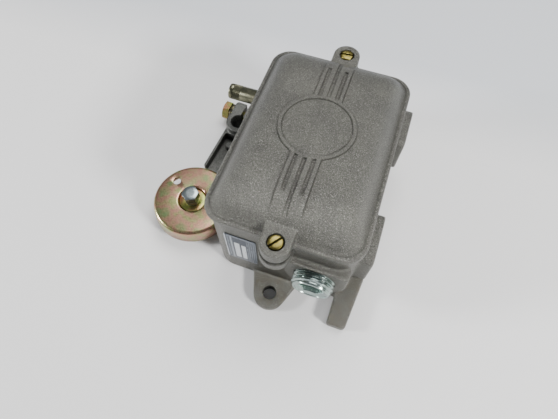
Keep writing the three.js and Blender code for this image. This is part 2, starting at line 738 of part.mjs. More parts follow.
place("housing", makeHousing(), "casting");
place("cover", makeCover(), "casting");
place("gasket", makeGasket(), "rubber");
place("nameplate", makeNameplate(), "foil");
place("entry_plug", makePlug(), "zinc");
for (const [name, end, turn] of [["cover_screw_front", -1, 0.93], ["cover_screw_rear", 1, 0.1]]) {
  place(name, slottedScrew([0, end * earY], coverScrewHead, counterboreFloor + gap, coverScrewTop,
    coverScrewShank, coverScrewEnd, turn), "brass");
}

place("shaft", makeShaft(), "chromate");
const bushFar = innerWallX - gap - bushFlangeThickness;
const axle = [0, shaftY, shaftZ];
place("bush_left", turned([[bushInner, -padFace + sealWidth + 0.5], [bushRadius, -padFace + sealWidth + 0.5],
  [bushRadius, -innerWallX + gap], [bushFlange, -innerWallX + gap], [bushFlange, -bushFar],
  [bushInner, -bushFar], [bushInner, -padFace + sealWidth + 0.5]], "x", axle), "bronze");
place("bush_right", turned([[bushInner, bushFar], [bushFlange, bushFar], [bushFlange, innerWallX - gap],
  [bushRadius, innerWallX - gap], [bushRadius, shaftRight], [bushInner, shaftRight],
  [bushInner, bushFar]], "x", axle), "bronze");
place("shaft_seal", tube(bushInner, bushRadius, -padFace + 0.1, -padFace + sealWidth, "x", axle), "rubber");
place("thrust_washer", tube(bushInner, 8, -bushFar + 0.2, -bushFar + 1, "x", axle), "steel");
place("retaining_clip", cut(tube(clipGroove + gap, clipRadius, clipX, clipX + clipWidth, "x", axle),
  block(clipX - 1, clipX + 2, shaftY - 2.6, shaftY + 2.6, shaftZ - 12, shaftZ)), "steel");
place("rocker", makeRocker(), "steel");
place("rocker_screw", makeRockerScrew(), "steel");

place("switch_block", makeSwitchBlock(), "phenolic");
place("guide_plate", makeGuidePlate(), "white");
for (const [end, side] of [["front", -1], ["rear", 1]]) {
  const y = shaftY + side * rockerReach;
  place(`plunger_${end}`, makePlunger(y), "white");
  place(`contact_bridge_${end}`, makeBridge(y), "brass");
  place(`return_spring_${end}`, makeSpring(y), "steel");
}
for (const [hand, side] of [["left", -1], ["right", 1]]) {
  place(`block_screw_${hand}`, slottedScrew([side * 32.6, shaftY], 3.2, baseTop + gap, 15.6, 1.8, 2.4,
    0.4 * side), "steel");
  for (const outer of [false, true]) {
    const tag = `${hand}_${outer ? "outer" : "inner"}`;
    const x = side * (outer ? outerTerminalX : innerTerminalX);
    place(`contact_strip_${tag}`, makeStrip(side, outer), "brass");
    place(`terminal_clamp_${tag}`, makeClamp(x), "zinc");
    place(`terminal_screw_${tag}`, slottedScrew([x, terminalY], 3.4, clampTop + gap, clampTop + 2.9, 1.8, 7.8,
      side * (outer ? 0.9 : 0.3)), "zinc");
  }
}
place("terminal_block", makeTerminalBlock(), "phenolic");
for (const [end, y] of [["front", -5], ["rear", 13]]) {
  place(`terminal_block_screw_${end}`, slottedScrew([0, y], 3.2, baseTop + gap, 15.6, 1.8, 2.4, 0.6), "steel");
}
place("earth_washer", tube(2.1, 5, 10.2, 11.2, "z", [-22, -44, 0]), "brass");
place("earth_screw", slottedScrew([-22, -44], 3.8, 11.4, 14.6, 1.8, 3.4, 1.1), "brass");

place("lever_arm", makeLeverArm(), "lever", lever);
place("clamp_bolt", makeClampBolt(), "chromate", lever);
const lugFace = -lugHalf - gap;
place("clamp_washer", tube(clampShank + gap, 6.4, lugFace - clampWasher, lugFace, "x", clampAt), "steel", lever);
const nutAcross = toGeometry(toSolid(pushed(hexagon(clampHexFlats), lugHalf + gap, lugHalf + 6.5)).subtract(
  rod(clampShank + gap, 0, lugHalf + 8, "z", [0, 0, 0], smallSides)));
place("clamp_nut", toSolid(nutAcross.rotateY(Math.PI / 2).translate(...clampAt)), "chromate", lever);

const hubPoint = [0, -leverLength, 0];
place("roller", makeRoller(), "roller", lever, hubPoint);
place("roller_bush", makeRollerBush(), "chromate", lever, hubPoint);
place("thrust_ring", tube(3.3, 8, armTipHeight + 0.2, armTipHeight + 1.2, "z"), "steel", lever, hubPoint);
place("roller_collar", tube(3.3, 4.8, recessFloor + 0.2, collarTop, "z"), "steel", lever, hubPoint);
place("roller_bolt", hexBolt(axleHexFlats, collarTop + gap, boltTop, axleShank, 0.5), "silver", lever, hubPoint);
const axleClearance = rod(axleShank + gap, -1, 4, "z", [0, 0, 0], smallSides);
place("roller_nut", cut(toSolid(pushed(hexagon(axleHexFlats), 0.3, 2.3)), axleClearance), "steel", lever, hubPoint);

export default object;
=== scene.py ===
import json
import math

import bmesh
import bpy
import numpy as np
from mathutils import Matrix, Vector


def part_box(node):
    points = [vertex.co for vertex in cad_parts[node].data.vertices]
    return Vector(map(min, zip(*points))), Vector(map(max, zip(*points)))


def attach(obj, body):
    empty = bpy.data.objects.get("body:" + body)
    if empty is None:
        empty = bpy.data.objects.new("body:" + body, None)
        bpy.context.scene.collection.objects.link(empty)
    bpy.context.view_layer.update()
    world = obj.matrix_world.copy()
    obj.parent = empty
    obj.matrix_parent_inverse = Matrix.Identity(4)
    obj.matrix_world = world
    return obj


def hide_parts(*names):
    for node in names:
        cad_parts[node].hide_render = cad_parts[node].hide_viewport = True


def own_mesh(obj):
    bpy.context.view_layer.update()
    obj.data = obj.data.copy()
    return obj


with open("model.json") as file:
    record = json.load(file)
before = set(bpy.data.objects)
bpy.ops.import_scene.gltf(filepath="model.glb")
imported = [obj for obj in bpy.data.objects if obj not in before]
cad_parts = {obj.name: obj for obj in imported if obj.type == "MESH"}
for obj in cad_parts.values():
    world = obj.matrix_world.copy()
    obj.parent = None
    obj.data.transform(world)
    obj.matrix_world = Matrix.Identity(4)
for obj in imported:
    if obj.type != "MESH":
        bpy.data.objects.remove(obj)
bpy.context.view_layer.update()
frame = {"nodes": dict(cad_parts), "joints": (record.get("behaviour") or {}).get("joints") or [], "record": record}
mm = 0.001
print("frame loaded")


# Mesh tools
def boxOf(node):
    low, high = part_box(node)
    return low / mm, high / mm


def middleOf(node):
    low, high = boxOf(node)
    return (low + high) / 2


def makeObject(name, verts, faces):
    mesh = bpy.data.meshes.new(name)
    mesh.from_pydata([tuple(v) for v in verts], [], faces)
    mesh.update()
    made = bpy.data.objects.new(name, mesh)
    bpy.context.scene.collection.objects.link(made)
    faceOutwards(made)
    return made


def faceOutwards(piece):
    work = bmesh.new()
    work.from_mesh(piece.data)
    bmesh.ops.remove_doubles(work, verts=work.verts, dist=1e-4)
    bmesh.ops.recalc_face_normals(work, faces=work.faces)
    work.to_mesh(piece.data)
    work.free()


def settle(piece):
    # apply the modifiers, so that the mesh is final
    graph = bpy.context.evaluated_depsgraph_get()
    finished = bpy.data.meshes.new_from_object(piece.evaluated_get(graph))
    piece.modifiers.clear()
    piece.data = finished
    return piece


def loft(name, rows, caps=True):
    # rows of points with the same count, skinned one to the next
    count = len(rows[0])
    verts = [point for row in rows for point in row]
    faces = []
    for r in range(len(rows) - 1):
        for i in range(count):
            j = (i + 1) % count
            faces.append((r * count + i, r * count + j, (r + 1) * count + j, (r + 1) * count + i))
    if caps:
        faces.append(tuple(reversed(range(count))))
        faces.append(tuple((len(rows) - 1) * count + i for i in range(count)))
    return makeObject(name, verts, faces)


def roundedRectangle(width, length, radius, perCorner=14):
    points = []
    for k, (sx, sy) in enumerate([(1, 1), (-1, 1), (-1, -1), (1, -1)]):
        cx = sx * (width / 2 - radius)
        cy = sy * (length / 2 - radius)
        for i in range(perCorner + 1):
            a = math.pi / 2 * (k + i / perCorner)
            points.append((cx + radius * math.cos(a), cy + radius * math.sin(a)))
    return points


def circle(radius, count=64, centre=(0, 0)):
    return [(centre[0] + radius * math.cos(2 * math.pi * i / count),
             centre[1] + radius * math.sin(2 * math.pi * i / count)) for i in range(count)]


def prism(name, outline, low, high, edge=0.0):
    # an upright block over an outline, its rims rounded by a bevel
    piece = loft(name, [[(x, y, low) for x, y in outline], [(x, y, high) for x, y in outline]])
    if edge > 0:
        bevelled(piece, edge)
    return piece


def bevelled(piece, width, segments=3, angle=40):
    bevel = piece.modifiers.new("rounding", "BEVEL")
    bevel.width = width
    bevel.segments = segments
    bevel.limit_method = "ANGLE"
    bevel.angle_limit = math.radians(angle)
    bevel.harden_normals = False
    return settle(piece)


def turned(name, profile, segments=64, closed=False):
    # (radius, height) pairs spun about Z; a profile that ends on the axis closes there
    rows = [[(r * math.cos(2 * math.pi * i / segments), r * math.sin(2 * math.pi * i / segments), z)
             for i in range(segments)] for r, z in profile]
    if closed:
        rows.append(rows[0])
    return loft(name, rows, caps=not closed)


def softened(profile, amount=0.25):
    # rounds the corners of a turned profile with two extra points each
    out = [profile[0]]
    for before, here, after in zip(profile, profile[1:], profile[2:]):
        here = Vector(here)
        toBefore = Vector(before) - here
        toAfter = Vector(after) - here
        reach = min(amount, toBefore.length * 0.45, toAfter.length * 0.45)
        start = here + toBefore.normalized() * reach
        end = here + toAfter.normalized() * reach
        out += [tuple(start), tuple((start + here * 2 + end) / 4), tuple(end)]
    out.append(profile[-1])
    return out


def moved(piece, matrix):
    piece.data.transform(matrix)
    return piece


def shifted(piece, x, y, z):
    return moved(piece, Matrix.Translation((x, y, z)))


def carve(piece, tools):
    for tool in tools:
        cut = piece.modifiers.new("cut", "BOOLEAN")
        cut.operation = "DIFFERENCE"
        cut.solver = "EXACT"
        cut.object = tool
        settle(piece)
        bpy.data.objects.remove(tool)
    return piece


def merge(name, pieces):
    # several meshes become one object
    work = bmesh.new()
    for piece in pieces:
        work.from_mesh(piece.data)
    mesh = bpy.data.meshes.new(name)
    work.to_mesh(mesh)
    work.free()
    for piece in pieces:
        bpy.data.objects.remove(piece)
    made = bpy.data.objects.new(name, mesh)
    bpy.context.scene.collection.objects.link(made)
    return made


def castTogether(piece, voxel, smoothing):
    # one skin over everything that overlaps, with soft inner corners as a casting has
    skin = piece.modifiers.new("skin", "REMESH")
    skin.mode = "VOXEL"
    skin.voxel_size = voxel
    skin.adaptivity = 0
    ease = piece.modifiers.new("ease", "SMOOTH")
    ease.factor = 0.5
    ease.iterations = smoothing
    return settle(piece)


def outsideBy(x, y, halfWidth, halfLength, radius):
    # how far a point lies outside a rounded rectangle
    dx = np.abs(x) - halfWidth + radius
    dy = np.abs(y) - halfLength + radius
    return np.hypot(np.maximum(dx, 0), np.maximum(dy, 0)) + np.minimum(np.maximum(dx, dy), 0) - radius


def nearness(distance, width):
    return np.clip(1 - np.abs(distance) / width, 0, 1)


def shadeCrevices(piece, shadeAt):
    # marks where painted shade goes, in creases, seams and holes, for the casting materials to darken
    mesh = piece.data
    spots = np.empty(len(mesh.vertices) * 3)
    mesh.vertices.foreach_get("co", spots)
    layer = mesh.attributes.get("paintedShade") or mesh.attributes.new("paintedShade", "FLOAT", "POINT")
    shade = np.zeros(len(mesh.vertices))
    layer.data.foreach_get("value", shade)
    layer.data.foreach_set("value", np.maximum(shade, shadeAt(*spots.reshape(-1, 3).T)))


def deliver(piece, name, body, material, nodes, sharp=35):
    # into metres, shaded, finished and riding on its body
    piece.name = name
    piece.data.name = name
    piece.data.transform(Matrix.Scale(mm, 4))
    piece.data.shade_smooth()
    piece.data.set_sharp_from_angle(angle=math.radians(sharp))
    piece.data.materials.clear()
    for each in (material if isinstance(material, list) else [material]):
        piece.data.materials.append(each)
    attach(piece, body)
    if nodes:
        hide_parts(*nodes)
    return piece


# Camera
cameraSetup = {"place": (25.73, -139.88, 264.77), "turn": (0.322892, 0.464611, 0.016500), "lens": 26.58}


def makeCamera():
    data = bpy.data.cameras.new("studioCamera")
    data.sensor_width = 36
    data.lens = cameraSetup["lens"]
    data.clip_start = 0.01
    data.clip_end = 20
    camera = bpy.data.objects.new("studioCamera", data)
    bpy.context.scene.collection.objects.link(camera)
    heading, tilt, roll = cameraSetup["turn"]
    turn = Matrix.Rotation(heading, 4, "Z") @ Matrix.Rotation(tilt, 4, "X") @ Matrix.Rotation(roll, 4, "Z")
    camera.matrix_world = Matrix.Translation(Vector(cameraSetup["place"]) * mm) @ turn
    bpy.context.scene.camera = camera


makeCamera()
print("camera placed")


# Material tools
def startMaterial(name):
    material = bpy.data.materials.new(name)
    material.use_nodes = True
    nodes = material.node_tree.nodes
    shader = nodes["Principled BSDF"]
    place = nodes.new("ShaderNodeTexCoord")
    return material, nodes, material.node_tree.links, shader, place.outputs["Object"]


def noise(nodes, links, place, scale, detail=2.0, rough=0.5, stretch=None):
    texture = nodes.new("ShaderNodeTexNoise")
    texture.inputs["Scale"].default_value = scale
    texture.inputs["Detail"].default_value = detail
    texture.inputs["Roughness"].default_value = rough
    if stretch:
        mapping = nodes.new("ShaderNodeMapping")
        mapping.inputs["Scale"].default_value = stretch
        links.new(place, mapping.inputs["Vector"])
        place = mapping.outputs["Vector"]
    links.new(place, texture.inputs["Vector"])
    return texture.outputs["Fac"]


def ramp(nodes, links, value, stops):
    made = nodes.new("ShaderNodeValToRGB")
    band = made.color_ramp
    while len(band.elements) < len(stops):
        band.elements.new(0.5)
    for element, (at, colour) in zip(band.elements, stops):
        element.position = at
        element.color = (*colour, 1)
    links.new(value, made.inputs["Fac"])
    return made.outputs["Color"]


def mixed(nodes, links, share, first, second, mode="MIX"):
    mix = nodes.new("ShaderNodeMix")
    mix.data_type = "RGBA"
    mix.blend_type = mode
    for socket, value in ((mix.inputs["Factor"], share), (mix.inputs["A"], first), (mix.inputs["B"], second)):
        if isinstance(value, bpy.types.NodeSocket):
            links.new(value, socket)
        elif isinstance(value, (int, float)):
            socket.default_value = value
        else:
            socket.default_value = (*value, 1)
    return mix.outputs["Result"]


def between(nodes, links, value, low, high):
    # stretches a 0 to 1 value over a range
    made = nodes.new("ShaderNodeMapRange")
    made.inputs["From Min"].default_value = 0.3
    made.inputs["From Max"].default_value = 0.7
    made.inputs["To Min"].default_value = low
    made.inputs["To Max"].default_value = high
    links.new(value, made.inputs["Value"])
    return made.outputs["Result"]


def bump(nodes, links, shader, height, distance, strength=1.0):
    made = nodes.new("ShaderNodeBump")
    made.inputs["Distance"].default_value = distance
    made.inputs["Strength"].default_value = strength
    links.new(height, made.inputs["Height"])
    last = shader.inputs["Normal"]
    if last.is_linked:
        links.new(last.links[0].from_socket, made.inputs["Normal"])
    links.new(made.outputs["Normal"], last)


# in each skin, the near-black colour is painted shade laid into creases, seams and holes
castSkin = {"dark": (0.055, 0.0545, 0.048), "light": (0.222, 0.22, 0.2), "grain": 2500, "mottle": 60,
            "metal": 0.8, "rough": (0.28, 0.46), "depth": 0.0005,
            "paintedGlint": (0.46, 0.45, 0.42), "paintedGlintShare": 0.66, "paintedGlintScale": 2500,
            "paintedShade": (0.025, 0.025, 0.023), "grime": (0.12, 0.105, 0.075), "grimeTop": 0.014}
leverSkin = {"dark": (0.062, 0.064, 0.06), "light": (0.17, 0.173, 0.163), "grain": 1300, "mottle": 120,
             "metal": 0.7, "rough": (0.38, 0.58), "depth": 0.0002,
             "paintedGlint": (0.3, 0.3, 0.3), "paintedGlintShare": 0.68, "paintedGlintScale": 1400,
             "paintedShade": (0.012, 0.012, 0.011), "grime": (0.05, 0.047, 0.042), "grimeTop": 0.003}
castTexture = {"grainStops": (0.36, 0.64), "cloudDark": (0.84, 0.84, 0.85), "cloudLight": (1.1, 1.1, 1.08),
               "paintedGlintFade": 0.06, "patchScale": 180, "patchStops": (0.42, 0.62), "bump": 0.9}
black = (0, 0, 0)
white = (1, 1, 1)


def castMaterial(name, skin):
    # shot-blasted metal: dark and light grains, painted glints on a few random grains, painted shade in creases,
    # seams and holes, and brown grime low down
    look = castTexture
    material, nodes, links, shader, place = startMaterial(name)
    grain = noise(nodes, links, place, skin["grain"], 3, 0.7)
    mottle = noise(nodes, links, place, skin["mottle"], 4, 0.6)
    grainLow, grainHigh = look["grainStops"]
    colour = ramp(nodes, links, grain, [(grainLow, skin["dark"]), (grainHigh, skin["light"])])
    cloud = ramp(nodes, links, mottle, [(0.3, look["cloudDark"]), (0.7, look["cloudLight"])])
    colour = mixed(nodes, links, 1.0, colour, cloud, "MULTIPLY")
    # painted glints: a few random grains get a light grey colour, standing in for sparkle
    glintSpots = noise(nodes, links, place, skin["paintedGlintScale"], 1, 0.5)
    glintStops = [(skin["paintedGlintShare"], black), (skin["paintedGlintShare"] + look["paintedGlintFade"], white)]
    colour = mixed(nodes, links, ramp(nodes, links, glintSpots, glintStops), colour, skin["paintedGlint"])
    # painted shade: the marked creases, seams and holes are mixed toward a near-black colour
    paintedShade = nodes.new("ShaderNodeAttribute")
    paintedShade.attribute_name = "paintedShade"
    colour = mixed(nodes, links, paintedShade.outputs["Fac"], colour, skin["paintedShade"])
    height = nodes.new("ShaderNodeSeparateXYZ")
    links.new(place, height.inputs["Vector"])
    low = nodes.new("ShaderNodeMapRange")
    low.inputs["From Min"].default_value = skin["grimeTop"]
    low.inputs["From Max"].default_value = 0.0
    links.new(height.outputs["Z"], low.inputs["Value"])
    patchLow, patchHigh = look["patchStops"]
    patches = noise(nodes, links, place, look["patchScale"], 4, 0.7)
    patch = ramp(nodes, links, patches, [(patchLow, black), (patchHigh, white)])
    dirty = mixed(nodes, links, 1.0, patch, low.outputs["Result"], "MULTIPLY")
    colour = mixed(nodes, links, dirty, colour, skin["grime"])
    links.new(colour, shader.inputs["Base Color"])
    links.new(between(nodes, links, grain, *skin["rough"]), shader.inputs["Roughness"])
    shader.inputs["Metallic"].default_value = skin["metal"]
    bump(nodes, links, shader, grain, skin["depth"], look["bump"])
    return material


castGrey = castMaterial("castGrey", castSkin)
castDark = castMaterial("castDark", leverSkin)


def platedMaterial(name, stops, patch, rough=(0.18, 0.34), fine=2600, stretch=None, depth=0.00003, metal=1.0):
    # plated metal whose tint drifts in patches, over a fine brushed surface
    material, nodes, links, shader, place = startMaterial(name)
    tint = noise(nodes, links, place, patch, 2.5, 0.55)
    colour = ramp(nodes, links, tint, stops)
    brush = noise(nodes, links, place, fine, 2, 0.6, stretch)
    shade = ramp(nodes, links, brush, [(0.3, (0.86, 0.86, 0.86)), (0.7, (1.08, 1.08, 1.08))])
    links.new(mixed(nodes, links, 1.0, colour, shade, "MULTIPLY"), shader.inputs["Base Color"])
    links.new(between(nodes, links, brush, *rough), shader.inputs["Roughness"])
    shader.inputs["Metallic"].default_value = metal
    bump(nodes, links, shader, brush, depth, 0.5)
    return material


rollerFinish = platedMaterial("rollerChromate", [
    (0.30, (0.26, 0.36, 0.13)), (0.42, (0.42, 0.38, 0.18)), (0.50, (0.55, 0.29, 0.22)),
    (0.58, (0.46, 0.36, 0.20)), (0.70, (0.28, 0.38, 0.17))], 100, (0.2, 0.34))
chromateFinish = platedMaterial("yellowChromate", [
    (0.38, (0.26, 0.30, 0.08)), (0.5, (0.40, 0.36, 0.12)), (0.62, (0.50, 0.26, 0.14))], 130, (0.22, 0.38))
oliveFinish = platedMaterial("oliveShaft", [
    (0.35, (0.13, 0.132, 0.09)), (0.5, (0.19, 0.187, 0.13)), (0.65, (0.27, 0.258, 0.18))], 160, (0.26, 0.4))
zincFinish = platedMaterial("brightZinc", [
    (0.3, (0.26, 0.33, 0.30)), (0.5, (0.34, 0.41, 0.385)), (0.7, (0.3, 0.36, 0.355))], 90, (0.18, 0.28), 700)
boltFinish = platedMaterial("boltZinc", [
    (0.3, (0.30, 0.36, 0.38)), (0.5, (0.38, 0.43, 0.45)), (0.7, (0.32, 0.38, 0.37))], 150, (0.2, 0.34))
brassFinish = platedMaterial("screwBrass", [
    (0.3, (0.15, 0.125, 0.028)), (0.5, (0.18, 0.15, 0.043)), (0.7, (0.24, 0.205, 0.068))], 300, (0.24, 0.38))
# painted shade: a near-black brass for the faces down in the screw slots
slotShadeFinish = platedMaterial("slotPaintedShade", [
    (0.3, (0.015, 0.012, 0.005)), (0.5, (0.03, 0.025, 0.01)), (0.7, (0.05, 0.04, 0.015))], 300, (0.45, 0.6))
blackFinish = platedMaterial("blackenedSteel", [
    (0.3, (0.06, 0.058, 0.04)), (0.5, (0.11, 0.1, 0.06)), (0.7, (0.19, 0.165, 0.09))], 200, (0.26, 0.42))
bronzeFinish = platedMaterial("bearingBronze", [
    (0.3, (0.32, 0.18, 0.07)), (0.5, (0.45, 0.28, 0.12)), (0.7, (0.5, 0.34, 0.16))], 260, (0.35, 0.55))
steelFinish = platedMaterial("plainSteel", [
    (0.3, (0.28, 0.29, 0.30)), (0.5, (0.40, 0.41, 0.42)), (0.7, (0.48, 0.48, 0.48))], 200, (0.28, 0.45))


def mouldedMaterial(name, dark, light, rough, grain=900, depth=0.00006):
    material, nodes, links, shader, place = startMaterial(name)
    mottle = noise(nodes, links, place, 220, 4, 0.6)
    links.new(ramp(nodes, links, mottle, [(0.3, dark), (0.7, light)]), shader.inputs["Base Color"])
    fine = noise(nodes, links, place, grain, 3, 0.6)
    links.new(between(nodes, links, fine, rough[0], rough[1]), shader.inputs["Roughness"])
    bump(nodes, links, shader, fine, depth, 0.5)
    return material


rubberFinish = mouldedMaterial("sealRubber", (0.012, 0.012, 0.012), (0.028, 0.028, 0.03), (0.7, 0.9))
phenolicFinish = mouldedMaterial("phenolic", (0.03, 0.02, 0.016), (0.075, 0.05, 0.042), (0.35, 0.55))
nylonFinish = mouldedMaterial("nylon", (0.66, 0.63, 0.54), (0.8, 0.78, 0.7), (0.4, 0.6))
print("materials mixed")


# Cover
coverLow, coverHigh = boxOf("cover")
coverSize = {"rimLength": 130, "rimRadius": 12.6, "rimThickness": 4, "rimEdge": 1.0,
             "domeWidth": 84.4, "domeLength": 124.4, "domeRadius": 11, "sideShare": 0.72,
             "inset": (0, 0.8, 3.6, 6.4, 10, 14, 19, 26), "rise": (0, 0.7, 4.3, 7.5, 10.4, 12.3, 13.5, 14.1),
             "earRadius": 8.3, "earTop": 75.9, "earInner": 50, "bore": 4.6, "boreFloor": 73.2, "hole": 2.8,
             "hollowWide": 0.915, "hollowLong": 0.943, "hollowDeep": 0.82, "voxel": 0.5, "smooth": 3}
badge = {"radius": 22, "ring": 2.7, "band": 8.6, "bandReach": 57, "longReach": 55, "shortReach": 43.5,
         "shortX": 5, "groove": 1.6, "raised": 0.85, "soft": 0.3, "step": 0.3,
         "shade": 0.8, "shadeWidth": 0.55, "fadeStart": 48, "fadeEnd": 0.1}
# painted shade: strength and width of the dark lines at the dome's foot crease and at the parting lines
seamShade = {"foot": 0.6, "footWidth": 0.9, "parting": 0.8, "partingWidth": 1.2}
rimTop = coverLow.z + coverSize["rimThickness"]
earY = coverHigh.y - coverSize["earRadius"]


def domeRise(inset):
    # a smooth curve through the dome's profile, starting from its foot
    xs = np.array(coverSize["inset"], float)
    ys = np.array(coverSize["rise"], float)
    slopes = np.diff(ys) / np.diff(xs)
    tangents = np.concatenate([[slopes[0]], (slopes[1:] + slopes[:-1]) / 2, [0.0]])
    inset = np.clip(inset, xs[0], xs[-1])
    k = np.clip(np.searchsorted(xs, inset, side="right") - 1, 0, len(xs) - 2)
    width = xs[k + 1] - xs[k]
    t = (inset - xs[k]) / width
    return ((2 * t ** 3 - 3 * t ** 2 + 1) * ys[k] + (t ** 3 - 2 * t ** 2 + t) * width * tangents[k]
            + (3 * t ** 2 - 2 * t ** 3) * ys[k + 1] + (t ** 3 - t ** 2) * width * tangents[k + 1])


def domeOutline(inset):
    size = coverSize
    sx = 1 - inset * size["sideShare"] * 2 / size["domeWidth"]
    sy = 1 - inset * 2 / size["domeLength"]
    foot = roundedRectangle(size["domeWidth"], size["domeLength"], size["domeRadius"])
    return [(x * sx, y * sy) for x, y in foot]


def domeHeightAt(x, y):
    # which drawn-in outline passes through each point, found by halving
    size = coverSize
    half, reach, radius = size["domeWidth"] / 2, size["domeLength"] / 2, size["domeRadius"]
    low = np.zeros_like(x)
    high = np.full_like(x, float(size["inset"][-1]))
    for _ in range(24):
        inset = (low + high) / 2
        u = np.abs(x) / (1 - inset * size["sideShare"] / half)
        v = np.abs(y) / (1 - inset / reach)
        du = np.maximum(u - half + radius, 0)
        dv = np.maximum(v - reach + radius, 0)
        outside = np.where((du > 0) & (dv > 0), np.hypot(du, dv) > radius, (u > half) | (v > reach))
        high = np.where(outside, inset, high)
        low = np.where(outside, low, inset)
    return domeRise(low)


def makeRaisedWork():
    # ring and grooved band stand above the dome as one skin with soft cast edges
    size = badge
    xs = np.arange(-size["radius"] - 0.9, size["radius"] + 0.91, size["step"])
    ys = np.arange(-size["bandReach"] - 0.9, size["bandReach"] + 0.91, size["step"])
    x, y = np.meshgrid(xs, ys)
    fromCentre = np.hypot(x, y)
    inRing = np.minimum(size["radius"] - fromCentre, fromCentre - size["radius"] + size["ring"])
    inBand = np.minimum(size["band"] - np.abs(x), size["bandReach"] - np.abs(y))
    inBand = np.minimum(inBand, fromCentre - size["radius"] + size["ring"])
    for at, reach in ((0, size["longReach"]), (-size["shortX"], size["shortReach"]),
                      (size["shortX"], size["shortReach"])):
        inGroove = np.minimum(size["groove"] / 2 - np.abs(x - at), reach - np.abs(y))
        inGroove = np.minimum(inGroove, fromCentre - size["radius"])
        inBand = np.minimum(inBand, -inGroove)
    depth = np.maximum(inRing, inBand)
    t = np.clip(depth / size["soft"] * 0.5 + 0.5, 0, 1)
    # the band sinks into the dome towards its ends
    fadeLength = size["bandReach"] - size["fadeStart"]
    fade = np.clip((size["bandReach"] - np.abs(y)) / fadeLength, size["fadeEnd"], 1)
    lift = (t * t * (3 - 2 * t)) * (size["raised"] * fade + 0.3) - 0.3
    z = rimTop + domeHeightAt(x, y) + lift
    kept = depth > -size["soft"] * 2.2
    cols = len(xs)
    verts = np.column_stack([x.ravel(), y.ravel(), z.ravel()])
    # painted shade: the edges of the raised ring and band are darkened, less so where the band fades
    shade = nearness(depth + size["soft"] * 0.2, size["shadeWidth"]) * size["shade"] * fade
    used = kept[:-1, :-1] | kept[1:, :-1] | kept[:-1, 1:] | kept[1:, 1:]
    faces = [(r * cols + c, r * cols + c + 1, (r + 1) * cols + c + 1, (r + 1) * cols + c)
             for r, c in zip(*np.nonzero(used))]
    mesh = bpy.data.meshes.new("raisedWork")
    mesh.from_pydata(verts.tolist(), [], faces)
    layer = mesh.attributes.new("paintedShade", "FLOAT", "POINT")
    layer.data.foreach_set("value", shade.ravel().astype(np.float32))
    work = bmesh.new()
    work.from_mesh(mesh)
    loose = [v for v in work.verts if not v.link_faces]
    bmesh.ops.delete(work, geom=loose, context="VERTS")
    work.to_mesh(mesh)
    work.free()
    made = bpy.data.objects.new("raisedWork", mesh)
    bpy.context.scene.collection.objects.link(made)
    backed = made.modifiers.new("backing", "SOLIDIFY")
    backed.thickness = 1.2
    backed.offset = -1
    return settle(made)


def earOutline(end, radius, inner, count=24):
    # round nose and straight sides that run back to the middle
    points = [(radius * math.cos(math.pi * i / count), earY + radius * math.sin(math.pi * i / count))
              for i in range(count + 1)]
    points += [(-radius, inner), (radius, inner)]
    return points if end > 0 else [(-x, -y) for x, y in points]


def makeCover():
    size = coverSize
    width = coverHigh.x - coverLow.x
    bottom, edge = coverLow.z, size["rimEdge"]

    def rimRow(inset, z):
        outline = roundedRectangle(width - inset, size["rimLength"] - inset, size["rimRadius"])
        return [(x, y, z) for x, y in outline]

    rows = []
    for k in range(5):
        a = math.pi / 2 * k / 4
        rows.append(rimRow(edge * (1 - math.sin(a)) * 2, bottom + edge * (1 - math.cos(a))))
    for k in range(5):
        a = math.pi / 2 * k / 4
        rows.append(rimRow(edge * (1 - math.cos(a)) * 2, rimTop - edge * (1 - math.sin(a))))
    rim = loft("rim", rows)
    domeRows = [[(x, y, rimTop - 1.5) for x, y in domeOutline(0)]]
    for inset in np.linspace(0, size["inset"][-1], 44):
        domeRows.append([(x, y, rimTop + float(domeRise(inset))) for x, y in domeOutline(inset)])
    dome = loft("dome", domeRows)
    ears = []
    for end in (-1, 1):
        outline = earOutline(end, size["earRadius"], size["earInner"])
        ears.append(prism("ear", outline, bottom + 0.2, size["earTop"], 0.5))
    skin = merge("coverSkin", [rim, dome, *ears])
    castTogether(skin, size["voxel"], size["smooth"])
    wide, long = size["hollowWide"], size["hollowLong"]
    hollowRows = [[(x * wide, y * long, bottom - 1) for x, y in domeOutline(0)]]
    for inset in np.linspace(0, size["inset"][-1], 16):
        roof = rimTop - 1 + float(domeRise(inset)) * size["hollowDeep"]
        hollowRows.append([(x * wide, y * long, roof) for x, y in domeOutline(inset)])
    tools = [loft("hollow", hollowRows)]
    bore, floor, earTop = size["bore"], size["boreFloor"], size["earTop"]
    boreProfile = [(0, floor), (bore, floor), (bore, earTop - 0.5), (bore + 0.5, earTop + 0.2),
                   (bore + 0.5, earTop + 2), (0, earTop + 2)]
    hole = size["hole"]
    holeProfile = [(0, bottom - 1), (hole, bottom - 1), (hole, floor + 0.5), (0, floor + 0.5)]
    for end in (-1, 1):
        tools.append(shifted(turned("bore", boreProfile, 48), 0, end * earY, 0))
        tools.append(shifted(turned("hole", holeProfile, 32), 0, end * earY, 0))
    carve(skin, tools)
    whole = merge("coverWhole", [makeRaisedWork(), skin])

    # painted shade: a dark line along the dome's foot crease and along the parting line at the cover's bottom
    def shadeAt(x, y, z):
        fromFoot = outsideBy(x, y, size["domeWidth"] / 2, size["domeLength"] / 2, size["domeRadius"])
        foot = nearness(fromFoot - 0.3, seamShade["footWidth"]) * (np.abs(z - rimTop) < 1.6) * seamShade["foot"]
        return np.maximum(foot, nearness(z - bottom, seamShade["partingWidth"]) * seamShade["parting"])

    shadeCrevices(whole, shadeAt)
    return deliver(whole, "cover_casting", "cover_body", castGrey, ["cover"], 50)


makeCover()
print("cover cast")


